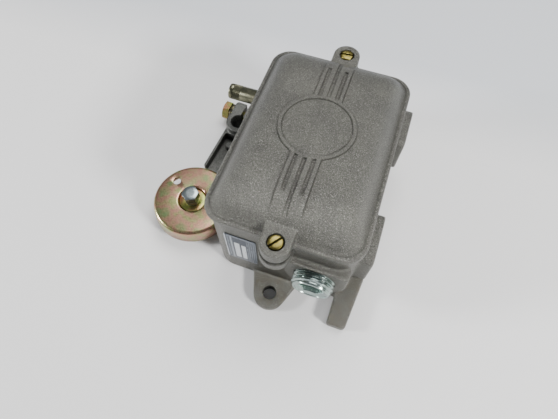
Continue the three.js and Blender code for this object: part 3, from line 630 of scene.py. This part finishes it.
# Slotted cover screws
screwHead = {"height": 2.9, "crown": 0.55, "slot": 1.25, "depth": 1.6, "shank": 2.4}
slotTurn = {"front": 0.93, "rear": 0.1}
def makeSlottedScrew(end):
    head = screwHead
    shank = head["shank"]
    node = f"cover_screw_{end}"
    low, high = boxOf(node)
    middle = middleOf(node)
    top, radius = high.z, (high.x - low.x) / 2
    under = top - head["height"]
    profile = [(0, low.z), (shank * 0.7, low.z), (shank, low.z + 0.5), (shank, under), (radius, under),
               (radius, top - head["crown"] - 0.25), (radius * 0.93, top - head["crown"] * 0.55),
               (radius * 0.7, top - head["crown"] * 0.15), (radius * 0.35, top), (0, top)]
    screw = turned("screw", softened(profile, 0.15), 48)
    slot = prism("slot", [(-radius * 1.5, -head["slot"] / 2), (radius * 1.5, -head["slot"] / 2),
                          (radius * 1.5, head["slot"] / 2), (-radius * 1.5, head["slot"] / 2)],
                 top - head["depth"], top + 2)
    moved(slot, Matrix.Rotation(slotTurn[end], 4, "Z"))
    carve(screw, [slot])
    bevelled(screw, 0.1, 2, 50)
    shifted(screw, middle.x, middle.y, 0)
    deliver(screw, f"{node}_piece", "cover_body", [brassFinish, slotShadeFinish], [node])
    # painted shade: the faces down in the slot get a near-black brass colour
    for face in screw.data.polygons:
        spot = Vector(face.center) / mm - middle
        inSlot = top - head["depth"] - 0.1 < face.center.z / mm < top - head["crown"]
        if inSlot and math.hypot(spot.x, spot.y) < radius * 0.95:
            face.material_index = 1


makeSlottedScrew("front")
makeSlottedScrew("rear")
print("cover screws turned")


# Housing
housingHigh = boxOf("housing")[1]
boxSize = {"width": 87, "length": 126.6, "radius": 12.5, "wall": 3.2, "floor": 6, "cavityRadius": 9,
           "voxel": 0.8, "smooth": 3}
earPost = {"radius": 9, "bottom": 59, "taper": 10, "lean": 5, "hole": 2.8}
mountEar = {"y": 74.8, "x": -1.6, "hole": 4.2, "tip": 10.2, "root": 16.2, "top": 6.5, "lean": 0.36}
cornerFoot = {"left": 38, "right": 53.2, "rightEnd": 49.8, "end": 81.4, "start": 46, "top": 7.6,
              "corner": 1.5}
pads = {"face": 51.5, "bottom": 24, "top": 53, "bearingHalf": 14.9, "sideHalf": 16.2, "sideY": -37.8,
        "radius": 4, "bore": 7.3, "blindEnd": 49.1}
earthPost = {"x": -22, "y": -44, "radius": 5, "low": 5, "high": 10}
baseHoles = {"radius": 2.1, "top": 11, "low": 2, "earthLow": 3, "besideShaft": 32.6, "onCentre": (-5, 13)}
shaftAt = Vector(frame["joints"][1]["pos_m"]) / mm
boss = {"x": 23, "radius": 18, "top": 54, "face": 68}
plugRadius = (boxOf("entry_plug")[1].x - boxOf("entry_plug")[0].x) / 2


def makeEarPost(end):
    size = earPost
    top = prism("post", earOutline(end, size["radius"], 60), size["bottom"], housingHigh.z)
    rows = []
    for k in range(9):
        t = k / 8
        radius = size["radius"] * (1 - t * 0.62)
        y = end * (earY - size["lean"] * t)
        rows.append([(x, y + dy, size["bottom"] + 0.3 - size["taper"] * math.sin(t * math.pi / 2))
                     for x, dy in circle(radius, 40)])
    return [top, loft("taper", rows)]


def makeMountEar(end):
    size = mountEar
    root = boxSize["length"] / 2 - 3
    arc = 26
    points = [(-size["root"], root), (size["root"], root)]
    for i in range(arc + 1):
        a = size["lean"] + (math.pi - 2 * size["lean"]) * i / arc
        points.append((size["tip"] * math.cos(a), size["y"] + size["tip"] * math.sin(a)))
    if end < 0:
        points = [(-x, -y) for x, y in points]
    return shifted(prism("mountEar", points, 0, size["top"], 0.9), size["x"], 0, 0)


def makePad(side, y, half):
    size = pads
    height = size["top"] - size["bottom"]
    outline = roundedRectangle(2 * half, height, size["radius"], 8)
    block = prism("pad", outline, 0, size["face"] - boxSize["width"] / 2 + 2, 0.8)
    stand = Matrix(((0, 0, side, 0), (side, 0, 0, 0), (0, 1, 0, 0), (0, 0, 0, 1)))
    moved(block, stand)
    return shifted(block, side * (boxSize["width"] / 2 - 2), y, (size["top"] + size["bottom"]) / 2)


def makeBoss():
    size = boss
    points = [(size["radius"], size["top"] - shaftAt.z), (-size["radius"], size["top"] - shaftAt.z),
              (-size["radius"], 0)]
    for i in range(1, 31):
        a = math.pi * (1 + i / 30)
        points.append((size["radius"] * math.cos(a), size["radius"] * math.sin(a)))
    depth = size["face"] - boxSize["length"] / 2 + 3
    block = prism("boss", points, 0, depth, 0.9)
    faceFront = Matrix(((1, 0, 0, 0), (0, 0, -1, 0), (0, 1, 0, 0), (0, 0, 0, 1)))
    moved(block, faceFront)
    return shifted(block, size["x"], -size["face"] + depth, shaftAt.z)


def makeFoot():
    size = cornerFoot
    cut = size["corner"]
    left, right, end = size["left"], size["rightEnd"], -size["end"]
    eased = cut * 0.3
    outline = [(left, -size["start"]), (left, end + cut), (left + eased, end + eased), (left + cut, end),
               (right - cut, end), (right - eased, end + eased), (right, end + cut),
               (size["right"], -size["start"])]
    return prism("foot", outline, 0, size["top"], 0.9)


def throughX(radius, start, end, y, z):
    rod = turned("bore", [(0, start), (radius, start), (radius, end), (0, end)], 48)
    moved(rod, Matrix.Rotation(math.pi / 2, 4, "Y"))
    return shifted(rod, 0, y, z)


def upright(radius, low, high, x, y):
    return shifted(turned("hole", [(0, low), (radius, low), (radius, high), (0, high)], 40), x, y, 0)


def makeHousing():
    size = boxSize
    body = prism("body", roundedRectangle(size["width"], size["length"], size["radius"], 16), 0,
                 housingHigh.z, 0.8)
    posts = makeEarPost(-1) + makeEarPost(1)
    foot = makeFoot()
    parts = [body, *posts, foot, makeMountEar(-1), makeMountEar(1), makeBoss(),
             makePad(-1, shaftAt.y, pads["bearingHalf"]), makePad(1, shaftAt.y, pads["bearingHalf"]),
             makePad(1, pads["sideY"], pads["sideHalf"])]
    skin = castTogether(merge("housingSkin", parts), size["voxel"], size["smooth"])
    wall = size["wall"]
    cavity = prism("cavity", roundedRectangle(size["width"] - 2 * wall, size["length"] - 2 * wall,
                                              size["cavityRadius"], 12), size["floor"], housingHigh.z + 2)
    post = earthPost
    carve(cavity, [upright(post["radius"], post["low"], post["high"], post["x"], post["y"])])
    tools = [cavity]
    for end in (-1, 1):
        tools.append(upright(earPost["hole"], earPost["bottom"] + 1, housingHigh.z + 2, 0, end * earY))
        hole = [(0, -1), (mountEar["hole"], -1), (mountEar["hole"], mountEar["top"] - 0.4),
                (mountEar["hole"] + 0.6, mountEar["top"] + 0.3), (mountEar["hole"] + 0.6, 9), (0, 9)]
        tools.append(shifted(turned("hole", hole, 48), mountEar["x"], end * mountEar["y"], 0))
    inside = size["width"] / 2 - wall - 1
    tools.append(throughX(pads["bore"], -pads["face"] - 1, -inside, shaftAt.y, shaftAt.z))
    tools.append(throughX(pads["bore"], inside, pads["blindEnd"], shaftAt.y, shaftAt.z))
    entry = turned("entry", [(0, -2), (plugRadius + 0.3, -2), (plugRadius + 0.3, 12), (0, 12)], 64)
    moved(entry, Matrix.Rotation(-math.pi / 2, 4, "X"))
    tools.append(shifted(entry, boss["x"], -boss["face"], shaftAt.z))
    holes = [(side * baseHoles["besideShaft"], shaftAt.y, baseHoles["low"]) for side in (-1, 1)]
    holes += [(0, y, baseHoles["low"]) for y in baseHoles["onCentre"]]
    holes.append((post["x"], post["y"], baseHoles["earthLow"]))
    for x, y, low in holes:
        tools.append(upright(baseHoles["radius"], low, baseHoles["top"], x, y))
    carve(skin, tools)

    # painted shade: a dark line along the parting line at the housing's top, and the mounting-ear holes darkened
    # fully inside
    def shadeAt(x, y, z):
        parting = nearness(z - housingHigh.z, seamShade["partingWidth"]) * seamShade["parting"]
        fromHole = np.hypot(x - mountEar["x"], np.abs(y) - mountEar["y"]) - mountEar["hole"]
        return np.maximum(parting, (fromHole < 0.3) * (z < mountEar["top"]) * 1.0)

    shadeCrevices(skin, shadeAt)
    return deliver(skin, "housing_casting", "housing_body", castGrey, ["housing"], 50)


makeHousing()
print("housing cast")


# Entry plug
plugSize = {"root": 10.9, "crest": 12.0, "pitch": 2.2, "start": 0.9, "turns": 4, "length": 18,
            "flats": 13, "hexDepth": 8, "mouth": 9.3, "lip": 0.5, "cone": 0.42, "columns": 120}


def hexRadius(angle, flats):
    step = math.pi / 3
    return flats / 2 / math.cos((angle + step / 2) % step - step / 2)


def makePlug():
    size = plugSize
    columns = size["columns"]
    angles = [2 * math.pi * i / columns for i in range(columns)]
    rows = []

    def ring(radiusAt, depthAt):
        rows.append([(radiusAt(a) * math.cos(a), radiusAt(a) * math.sin(a), depthAt(a)) for a in angles])

    ring(lambda a: size["root"] - 0.6, lambda a: size["length"])
    ring(lambda a: size["root"], lambda a: size["length"] - 0.6)
    threadEnd = size["start"] + size["turns"] * size["pitch"]
    steps = 110
    for k in range(steps, -1, -1):
        z = size["start"] + (threadEnd - size["start"]) * k / steps
        fade = min(1, (z - size["start"]) / 0.8, (threadEnd - z) / 0.8)

        def threadRadius(a, z=z, fade=fade):
            phase = (z / size["pitch"] - a / (2 * math.pi)) % 1
            tooth = min(1, max(0, 1.25 - abs(phase - 0.5) * 3.4))
            return size["root"] + (size["crest"] - size["root"]) * tooth * max(0, fade)

        ring(threadRadius, lambda a, z=z: z)
    ring(lambda a: size["root"], lambda a: 0.5)
    ring(lambda a: size["root"] - 0.15, lambda a: 0.15)
    ring(lambda a: size["root"] - 0.5, lambda a: 0)
    ring(lambda a: size["mouth"] + 0.25, lambda a: 0)
    ring(lambda a: size["mouth"], lambda a: 0.12)
    ring(lambda a: size["mouth"] - 0.1, lambda a: size["lip"])
    slope = size["cone"]

    def coneDepth(radius):
        return size["lip"] + (size["mouth"] - 0.1 - radius) * slope

    for share in (0.5, 0.0):
        def radiusAt(a, share=share):
            hexed = hexRadius(a, size["flats"]) + 0.12
            return hexed + (size["mouth"] - 0.1 - hexed) * share
        ring(radiusAt, lambda a, radiusAt=radiusAt: coneDepth(radiusAt(a)))
    ring(lambda a: hexRadius(a, size["flats"]), lambda a: coneDepth(hexRadius(a, size["flats"])) + 0.2)
    ring(lambda a: hexRadius(a, size["flats"]), lambda a: size["hexDepth"])
    ring(lambda a: hexRadius(a, size["flats"]) * 0.3, lambda a: size["hexDepth"] + 0.9)
    plug = loft("plug", rows)
    moved(plug, Matrix.Rotation(-math.pi / 2, 4, "X") @ Matrix.Rotation(math.pi / 6, 4, "Z"))
    middle = middleOf("entry_plug")
    shifted(plug, middle.x, boxOf("entry_plug")[0].y, middle.z)
    return deliver(plug, "entry_plug_piece", "housing_body", zincFinish, ["entry_plug"], 40)


makePlug()
print("entry plug threaded")


# Operating shaft
shaftSize = {"teeth": 36, "knurlStart": 3, "knurlLength": 6, "toothDepth": 0.32,
             "clip": -36.4, "clipWidth": 1, "clipRadius": 4.6, "columns": 288}


def makeShaft():
    low, high = boxOf("shaft")
    size = shaftSize
    radius = (high.y - low.y) / 2
    start, end = low.x, high.x
    profile = [(0, start), (radius - 0.9, start), (radius - 0.25, start + 0.3), (radius, start + 0.9),
               (radius, start + size["knurlStart"]), (radius - 0.12, start + size["knurlStart"] + 0.25)]
    knurl = (start + size["knurlStart"] + 0.3, start + size["knurlStart"] + size["knurlLength"] - 0.3)
    profile += [(-radius, knurl[0]), (-radius, knurl[1])]
    clipStart, clipEnd = size["clip"] - 0.3, size["clip"] + size["clipWidth"] + 0.3
    profile += [(radius - 0.12, knurl[1] + 0.05), (radius, knurl[1] + 0.3), (radius, clipStart),
                (size["clipRadius"], clipStart), (size["clipRadius"], clipEnd), (radius, clipEnd),
                (radius, end - 0.6), (radius - 0.6, end), (0, end)]
    rows = []
    for r, z in profile:
        row = []
        for i in range(size["columns"]):
            a = 2 * math.pi * i / size["columns"]
            wave = abs((a * size["teeth"] / (2 * math.pi)) % 1 - 0.5) * 2
            here = r if r >= 0 else -r - size["toothDepth"] * wave
            row.append((here * math.cos(a), here * math.sin(a), z))
        rows.append(row)
    shaft = loft("shaft", rows)
    moved(shaft, Matrix.Rotation(math.pi / 2, 4, "Y"))
    shifted(shaft, 0, shaftAt.y, shaftAt.z)
    dimple = upright(2.1, shaftAt.z + radius - 1, shaftAt.z + radius + 1, 0, shaftAt.y)
    carve(shaft, [dimple])
    return deliver(shaft, "shaft_piece", "shaft_body", oliveFinish, ["shaft"], 30)


makeShaft()
print("shaft turned")


# Nameplate
plateLook = {"foil": (0.2, 0.225, 0.26), "ink": (0.06, 0.07, 0.09), "white": (0.66, 0.69, 0.72),
             "edge": (0.6, 0.64, 0.68), "radius": 1, "rivetX": 7.9, "rivetY": 15.6}


def plateMask(nodes, links, separated, x0, x1, z0, z1):
    # 1 inside a rectangle of the plate, in metres
    result = None
    for axis, low, high in (("X", x0, x1), ("Z", z0, z1)):
        for value, operation in ((low, "GREATER_THAN"), (high, "LESS_THAN")):
            test = nodes.new("ShaderNodeMath")
            test.operation = operation
            links.new(separated.outputs[axis], test.inputs[0])
            test.inputs[1].default_value = value * mm
            if result is None:
                result = test.outputs[0]
            else:
                both = nodes.new("ShaderNodeMath")
                both.operation = "MULTIPLY"
                links.new(result, both.inputs[0])
                links.new(test.outputs[0], both.inputs[1])
                result = both.outputs[0]
    return result


def nameplateMaterial():
    material, nodes, links, shader, place = startMaterial("nameplateFoil")
    low, high = boxOf("nameplate")
    separated = nodes.new("ShaderNodeSeparateXYZ")
    links.new(place, separated.inputs["Vector"])
    brush = noise(nodes, links, place, 1500, 2, 0.6, (1, 1, 0.12))
    colour = mixed(nodes, links, brush, plateLook["foil"], tuple(c * 0.8 for c in plateLook["foil"]))
    width, height = high.x - low.x, high.z - low.z
    # left, right, bottom and top as shares of the plate
    patches = [(0.0, 0.035, 0, 1, "edge"), (0.035, 0.08, 0, 1, "ink"), (0.13, 0.16, 0.03, 0.95, "ink"),
               (0.2, 0.215, 0.03, 0.95, "edge"), (0.25, 0.7, 0.04, 0.95, "ink"),
               (0.29, 0.46, 0.1, 0.74, "white"), (0.52, 0.66, 0.1, 0.7, "white")]
    patches += [(x0, x1, 0.04, 0.95, "ink") for x0, x1 in
                ((0.735, 0.76), (0.8, 0.83), (0.87, 0.9), (0.94, 0.965))]
    for x0, x1, z0, z1, tint in patches:
        mask = plateMask(nodes, links, separated, low.x + width * x0, low.x + width * x1,
                         low.z + height * z0, low.z + height * z1)
        colour = mixed(nodes, links, mask, colour, plateLook[tint])
    links.new(colour, shader.inputs["Base Color"])
    shader.inputs["Metallic"].default_value = 0.55
    links.new(between(nodes, links, brush, 0.25, 0.4), shader.inputs["Roughness"])
    bump(nodes, links, shader, brush, 0.00003, 0.5)
    return material


def makeNameplate():
    low, high = boxOf("nameplate")
    middle = middleOf("nameplate")
    plate = prism("plate", roundedRectangle(high.x - low.x, high.z - low.z, plateLook["radius"], 6), 0,
                  high.y - low.y, 0.12)
    rivets = []
    for x, y in ((-1, -1), (1, -1), (-1, 1), (1, 1)):
        head = turned("rivet", [(0, 0.1), (0.75, 0.1), (0.7, 0.55), (0.4, 0.72), (0, 0.78)], 20)
        rivets.append(shifted(head, x * plateLook["rivetX"], y * plateLook["rivetY"], 0))
    whole = merge("plateWhole", [plate, *rivets])
    moved(whole, Matrix(((1, 0, 0, 0), (0, 0, -1, 0), (0, 1, 0, 0), (0, 0, 0, 1))))
    shifted(whole, middle.x, high.y, middle.z)
    foil = nameplateMaterial()
    return deliver(whole, "nameplate_piece", "housing_body", foil, ["nameplate"])


makeNameplate()
print("nameplate printed")


# Roller lever and its clamp set
openings = frame["record"]["physics"]["openings"]
boreLow, boreHigh = next(o for o in openings if o["name"] == "lever_hub_bore")["box_m"]
hubAt = Vector(((boreLow[0] + boreHigh[0]) / 2, (boreLow[1] + boreHigh[1]) / 2, 0)) / mm
rollerAt = Vector(next(j for j in frame["joints"] if j["name"] == "roller_spin")["pos_m"]) / mm
rollerAt.z = 0
leverLength = (rollerAt - hubAt).length
leverTurn = math.atan2(rollerAt.x - hubAt.x, hubAt.y - rollerAt.y)
leverFrame = Matrix.Translation(hubAt) @ Matrix.Rotation(leverTurn, 4, "Z")
leverSize = {"hub": 9.6, "hubHeight": 16, "bore": 5.65, "lugLength": 17.6, "lugHalf": 9.6, "slot": 1.2,
             "clampY": 11.8, "clampZ": 8, "clampFlats": 13, "clampShank": 3.9, "half": 8.6, "height": 11,
             "floor": 5, "wall": 2, "tipHeight": 5.4, "tipRadius": 9, "tipReach": 30, "axleFlats": 10,
             "axleShank": 2.9, "washer": 2.4, "gap": 0.3, "voxel": 0.45,
             "bossRadius": 2.6, "bossTop": 8.4, "pocketShade": 0.55}


def acrossLever(piece):
    # from upright to lying along the clamp bolt's line, head towards -X
    moved(piece, Matrix.Rotation(-math.pi / 2, 4, "Y"))
    shifted(piece, 0, leverSize["clampY"], leverSize["clampZ"])
    return moved(piece, leverFrame)


def makeLeverArm():
    size = leverSize
    height = size["hubHeight"]
    hub = prism("hub", circle(size["hub"], 64), 0, height, 0.7)
    lugOutline = roundedRectangle(2 * size["lugHalf"], size["lugLength"], 2.4, 8)
    lug = shifted(prism("lug", lugOutline, 0, height, 0.8), 0, size["lugLength"] / 2, 0)
    bend = size["tipReach"] - leverLength
    arm = prism("arm", [(-size["half"], 0), (-size["half"], bend), (-size["tipRadius"], -leverLength),
                        (size["tipRadius"], -leverLength), (size["half"], bend), (size["half"], 0)],
                0, size["tipHeight"], 0.5)
    wallOutline = roundedRectangle(2 * size["half"], -bend, 1.5, 6)
    walls = shifted(prism("walls", wallOutline, 0, size["height"], 0.7), 0, bend / 2, 0)
    tip = shifted(prism("tip", circle(size["tipRadius"], 48), 0, size["tipHeight"], 0.5), 0, -leverLength, 0)
    pocketStart = -size["hub"] - 0.6
    pocketLength = pocketStart - bend + 1.5
    pocketOutline = roundedRectangle(2 * (size["half"] - size["wall"]), pocketLength, 1.5, 6)
    pocket = shifted(prism("pocket", pocketOutline, size["floor"], height + 2),
                     0, pocketStart - pocketLength / 2, 0)
    skin = castTogether(merge("leverSkin", [hub, lug, arm, walls, tip]), size["voxel"], 3)
    carve(pocket, [upright(size["bossRadius"], size["floor"] - 1, size["bossTop"], 0, -size["hub"] - 8)])
    axleHole = upright(size["axleShank"] + 0.4, -1, size["tipHeight"] + 1, 0, -leverLength)
    nutCorner = hexRadius(math.pi / 6, size["axleFlats"] + 0.8)
    nutOutline = [(nutCorner * math.cos(math.pi / 6 + math.pi / 3 * k),
                   nutCorner * math.sin(math.pi / 6 + math.pi / 3 * k)) for k in range(6)]
    nutPocket = shifted(prism("nutPocket", nutOutline, -1, 2.6), 0, -leverLength, 0)
    boreTool = turned("hubBore", [(0, -1), (size["bore"], -1), (size["bore"], height - 0.6),
                                  (size["bore"] + 0.7, height + 0.1), (size["bore"] + 0.7, height + 1),
                                  (0, height + 1)], 56)
    slot = prism("slot", [(-size["slot"], 0), (size["slot"], 0), (size["slot"], size["lugLength"] + 2),
                          (-size["slot"], size["lugLength"] + 2)], -1, height + 1)
    boltHole = turned("boltHole", [(0, -12), (size["clampShank"] + 0.4, -12), (size["clampShank"] + 0.4, 12),
                                   (0, 12)], 40)
    moved(boltHole, Matrix.Rotation(math.pi / 2, 4, "Y"))
    shifted(boltHole, 0, size["clampY"], size["clampZ"])
    carve(skin, [pocket, axleHole, nutPocket, boreTool, slot, boltHole])

    # painted shade: inside the pocket, the lower a point lies the darker it is painted
    def shadeAt(x, y, z):
        outside = outsideBy(x, y - (bend - size["hub"]) / 2, size["half"] - 0.5, (-bend - size["hub"]) / 2, 1)
        depth = np.clip((size["height"] - z) / (size["height"] - size["floor"]), 0, 1)
        return (outside < 0) * depth * size["pocketShade"]

    shadeCrevices(skin, shadeAt)
    moved(skin, leverFrame)
    return deliver(skin, "lever_casting_piece", "lever_body", castDark, ["lever_arm"], 45)


def hexBlank(name, flats, low, high, chamfer=(True, True), hole=0.0, columns=96):
    # hexagon bar with its rims turned to a shallow cone
    angles = [2 * math.pi * i / columns for i in range(columns)]
    flat = flats / 2 * 0.96
    slope = 0.55

    def row(radiusAt, heightAt):
        return [(radiusAt(a) * math.cos(a), radiusAt(a) * math.sin(a), heightAt(a)) for a in angles]

    def full(a):
        return hexRadius(a, flats)

    def endRadius(a, coned):
        return flat if coned else full(a) - 0.08

    def fall(a, coned):
        return (full(a) - flat) * slope if coned else 0.08

    atLow, atHigh = chamfer
    rows = [row(lambda a: endRadius(a, atLow), lambda a: low),
            row(full, lambda a: low + fall(a, atLow)),
            row(full, lambda a: high - fall(a, atHigh)),
            row(lambda a: endRadius(a, atHigh), lambda a: high)]
    if hole:
        rows.append(row(lambda a: hole + 0.4, lambda a: high))
        rows.append(row(lambda a: hole, lambda a: high - 0.4))
        rows.append(row(lambda a: hole, lambda a: low + 0.4))
        rows.append(row(lambda a: hole + 0.4, lambda a: low))
        rows.append(rows[0])
        return loft(name, rows, caps=False)
    rows.append(row(lambda a: flat * 0.5, lambda a: high + 0.03))
    return loft(name, rows)


def makeClampSet():
    size = leverSize
    gap = size["gap"]
    headStart = size["lugHalf"] + gap + size["washer"] + gap
    head = hexBlank("clampHead", size["clampFlats"], headStart, headStart + 5.4, (False, True))
    tail, radius = -size["lugHalf"] - 8, size["clampShank"]
    shankProfile = [(0, tail), (radius - 0.5, tail), (radius, tail + 0.6), (radius, headStart + 0.5),
                    (0, headStart + 0.5)]
    shank = turned("clampShank", softened(shankProfile, 0.2), 40)
    bolt = acrossLever(merge("clampBolt", [head, shank]))
    deliver(bolt, "clamp_bolt_piece", "lever_body", chromateFinish, ["clamp_bolt"])
    start = size["lugHalf"] + gap
    ring = [(size["clampShank"] + gap, start), (6.4, start), (6.4, start + size["washer"]),
            (size["clampShank"] + gap, start + size["washer"])]
    washer = turned("washer", softened([*ring, ring[0]], 0.3), 56, True)
    deliver(acrossLever(washer), "clamp_washer_piece", "lever_body", blackFinish, ["clamp_washer"])
    nut = hexBlank("clampNut", size["clampFlats"], -size["lugHalf"] - 6.5, -size["lugHalf"] - gap,
                   (True, True), size["clampShank"] + gap)
    nut = acrossLever(nut)
    deliver(nut, "clamp_nut_piece", "lever_body", chromateFinish, ["clamp_nut"])


makeLeverArm()
makeClampSet()
print("lever cast and clamped")


# Roller and its axle
rollerSize = {"radius": 26.4, "flare": 0.9, "low": 6.6, "top": 17, "skin": 1.8, "bore": 5.2, "recess": 9.2,
              "sight": 2.7, "sightAt": (-16.4, 8.3), "edge": 2.6, "collarTop": 19.6}


def makeRoller():
    size = rollerSize
    radius, top, low, skin = size["radius"], size["top"], size["low"], size["skin"]
    mouth = radius + size["flare"]
    well = size["recess"] + skin
    edge = size["edge"]
    tall = edge * 0.8
    rounded = [(radius - edge + edge * math.sin(a), top - tall + tall * math.cos(a))
               for a in [math.pi / 2 * k / 10 for k in range(11)]]
    inner = [(radius - edge + (edge - skin) * math.sin(a), top - tall + (tall - skin) * math.cos(a))
             for a in [math.pi / 2 * k / 6 for k in range(7)]]
    recess = size["recess"]
    lipInside = [(recess - 0.05, 11.8), (recess, top - 1.3), (recess + 0.25, top - 0.5),
                 (recess + 0.8, top - 0.08), (recess + 1.6, top)]
    profile = [(size["bore"], 11.4), *lipInside, *rounded, (mouth, low + 0.5), (mouth - 0.2, low + 0.1),
               (mouth - skin / 2, low), (mouth - skin + 0.2, low + 0.1), (mouth - skin, low + 0.5)]
    profile += list(reversed(inner)) + [(well + 0.5, top - skin), (well, top - skin - 0.5), (well, 10.6),
                                        (well - 0.5, 10.2), (size["bore"], 9.7)]
    cup = turned("cup", profile, 160, True)
    x, y = size["sightAt"]
    carve(cup, [upright(size["sight"], top - 4, top + 1, x, y)])
    bevelled(cup, 0.18, 2, 55)
    cup = moved(cup, Matrix.Translation(rollerAt) @ Matrix.Rotation(leverTurn, 4, "Z"))
    return deliver(cup, "roller_piece", "roller_body", rollerFinish, ["roller"], 38)


def makeAxle():
    size, lever = rollerSize, leverSize
    shank = lever["axleShank"]
    place = Matrix.Translation(rollerAt) @ Matrix.Rotation(leverTurn, 4, "Z")
    low, high = boxOf("roller_bush")
    foot = size["bore"] - 0.3
    ring = [(shank + 0.4, low.z), (foot, low.z), (foot, 11.9), (size["recess"] - 0.5, 12.3),
            (size["recess"] - 0.5, high.z), (shank + 0.4, high.z)]
    bush = moved(turned("bush", softened([*ring, ring[0]], 0.25), 72, True), place)
    deliver(bush, "roller_bush_piece", "lever_body", chromateFinish, ["roller_bush"])
    low, high = boxOf("roller_collar")
    ring = [(shank + 0.4, low.z), (4.8, low.z), (4.8, high.z), (shank + 0.4, high.z)]
    collar = moved(turned("collar", softened([*ring, ring[0]], 0.3), 56, True), place)
    deliver(collar, "roller_collar_piece", "lever_body", steelFinish, ["roller_collar"])
    low, high = boxOf("roller_bolt")
    head = hexBlank("axleHead", lever["axleFlats"], size["collarTop"] + 0.3, high.z - 0.03, (False, True))
    shankTop = size["collarTop"] + 0.8
    shankProfile = [(0, low.z), (shank - 0.4, low.z), (shank, low.z + 0.4), (shank, shankTop), (0, shankTop)]
    body = turned("axleShank", softened(shankProfile, 0.15), 40)
    bolt = moved(merge("axle", [head, body]), place)
    deliver(bolt, "roller_bolt_piece", "lever_body", boltFinish, ["roller_bolt"])


makeRoller()
makeAxle()
print("roller pressed")


# Return springs, wound here as rigid coils; the real ones shorten as their plungers press them
springSize = {"wire": 0.4, "turns": 3.5, "stepsPerTurn": 40, "sides": 12}


def makeReturnSpring(end):
    node = f"return_spring_{end}"
    low, high = boxOf(node)
    middle = middleOf(node)
    wire = springSize["wire"]
    radius = (high.x - low.x) / 2 - wire
    length = high.z - low.z
    steps = int(springSize["turns"] * springSize["stepsPerTurn"])
    rows = []
    for k in range(steps + 1):
        a = 2 * math.pi * springSize["turns"] * k / steps
        height = low.z + wire + (length - 2 * wire) * k / steps
        rows.append([((radius + dx) * math.cos(a), (radius + dx) * math.sin(a), height + dz)
                     for dx, dz in circle(wire, springSize["sides"])])
    spring = shifted(loft("spring", rows), middle.x, middle.y, 0)
    deliver(spring, f"{node}_piece", "housing_body", steelFinish, [node])
    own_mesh(spring)


makeReturnSpring("front")
makeReturnSpring("rear")
print("return springs wound")


# The other inner pieces keep their CAD shapes
finishOfSlot = {"die_casting": castGrey, "lever_casting": castDark, "rubber": rubberFinish,
                "bright_zinc": zincFinish, "bolt_zinc": boltFinish, "brass": brassFinish,
                "yellow_chromate": chromateFinish, "roller_chromate": rollerFinish,
                "bearing_bronze": bronzeFinish, "steel": steelFinish, "phenolic": phenolicFinish,
                "white_plastic": nylonFinish}


def dressInnerPieces():
    for row in frame["record"]["subparts"]:
        node = frame["nodes"][row["node"]]
        if row["material_slot"] in finishOfSlot:
            node.data.materials.clear()
            node.data.materials.append(finishOfSlot[row["material_slot"]])


dressInnerPieces()
print("inner pieces finished")


# Table and light
studio = {"tableWidth": 3.0, "tableNear": (0.87, 0.87, 0.875), "tableFar": (0.64, 0.665, 0.705),
          "fadeStart": 0.08, "fadeEnd": 0.16, "world": (0.9, 0.93, 0.97), "worldStrength": 0.25}
warm = (1, 0.99, 0.97)
lamps = [{"name": "keyPanel", "place": (0.1, 0.52, 1.08), "size": (0.9, 0.7), "power": 13, "tint": warm},
         {"name": "frontRight", "place": (0.9, -0.35, 0.62), "size": (0.22, 0.16), "power": 15, "tint": warm},
         {"name": "frontLeft", "place": (-1.0, -0.42, 0.5), "size": (0.22, 0.16), "power": 11, "tint": white}]


def makeTable():
    half = studio["tableWidth"] / 2
    table = makeObject("table", [(-half, -half, 0), (half, -half, 0), (half, half, 0), (-half, half, 0)],
                       [(0, 1, 2, 3)])
    material, nodes, links, shader, place = startMaterial("tableTop")
    separated = nodes.new("ShaderNodeSeparateXYZ")
    links.new(place, separated.inputs["Vector"])
    spread = nodes.new("ShaderNodeMapRange")
    spread.inputs["From Min"].default_value = studio["fadeStart"]
    spread.inputs["From Max"].default_value = studio["fadeEnd"]
    links.new(separated.outputs["Y"], spread.inputs["Value"])
    base = mixed(nodes, links, spread.outputs["Result"], studio["tableNear"], studio["tableFar"])
    drift = noise(nodes, links, place, 4, 3)
    cloud = ramp(nodes, links, drift, [(0.3, (0.985, 0.985, 0.985)), (0.7, white)])
    links.new(mixed(nodes, links, 1.0, base, cloud, "MULTIPLY"), shader.inputs["Base Color"])
    shader.inputs["Roughness"].default_value = 0.7
    table.data.materials.append(material)


def makeLight():
    world = bpy.data.worlds.new("studioSky")
    bpy.context.scene.world = world
    world.use_nodes = True
    sky = world.node_tree.nodes["Background"]
    sky.inputs["Color"].default_value = (*studio["world"], 1)
    sky.inputs["Strength"].default_value = studio["worldStrength"]
    aim = Vector((0, 0, 0.05))
    for each in lamps:
        data = bpy.data.lights.new(each["name"], "AREA")
        data.shape = "RECTANGLE"
        data.size, data.size_y = each["size"]
        data.energy = each["power"]
        data.color = each["tint"]
        lamp = bpy.data.objects.new(each["name"], data)
        bpy.context.scene.collection.objects.link(lamp)
        lamp.location = each["place"]
        lamp.rotation_euler = (aim - lamp.location).to_track_quat("-Z", "Y").to_euler()


makeTable()
makeLight()
print("studio lit")
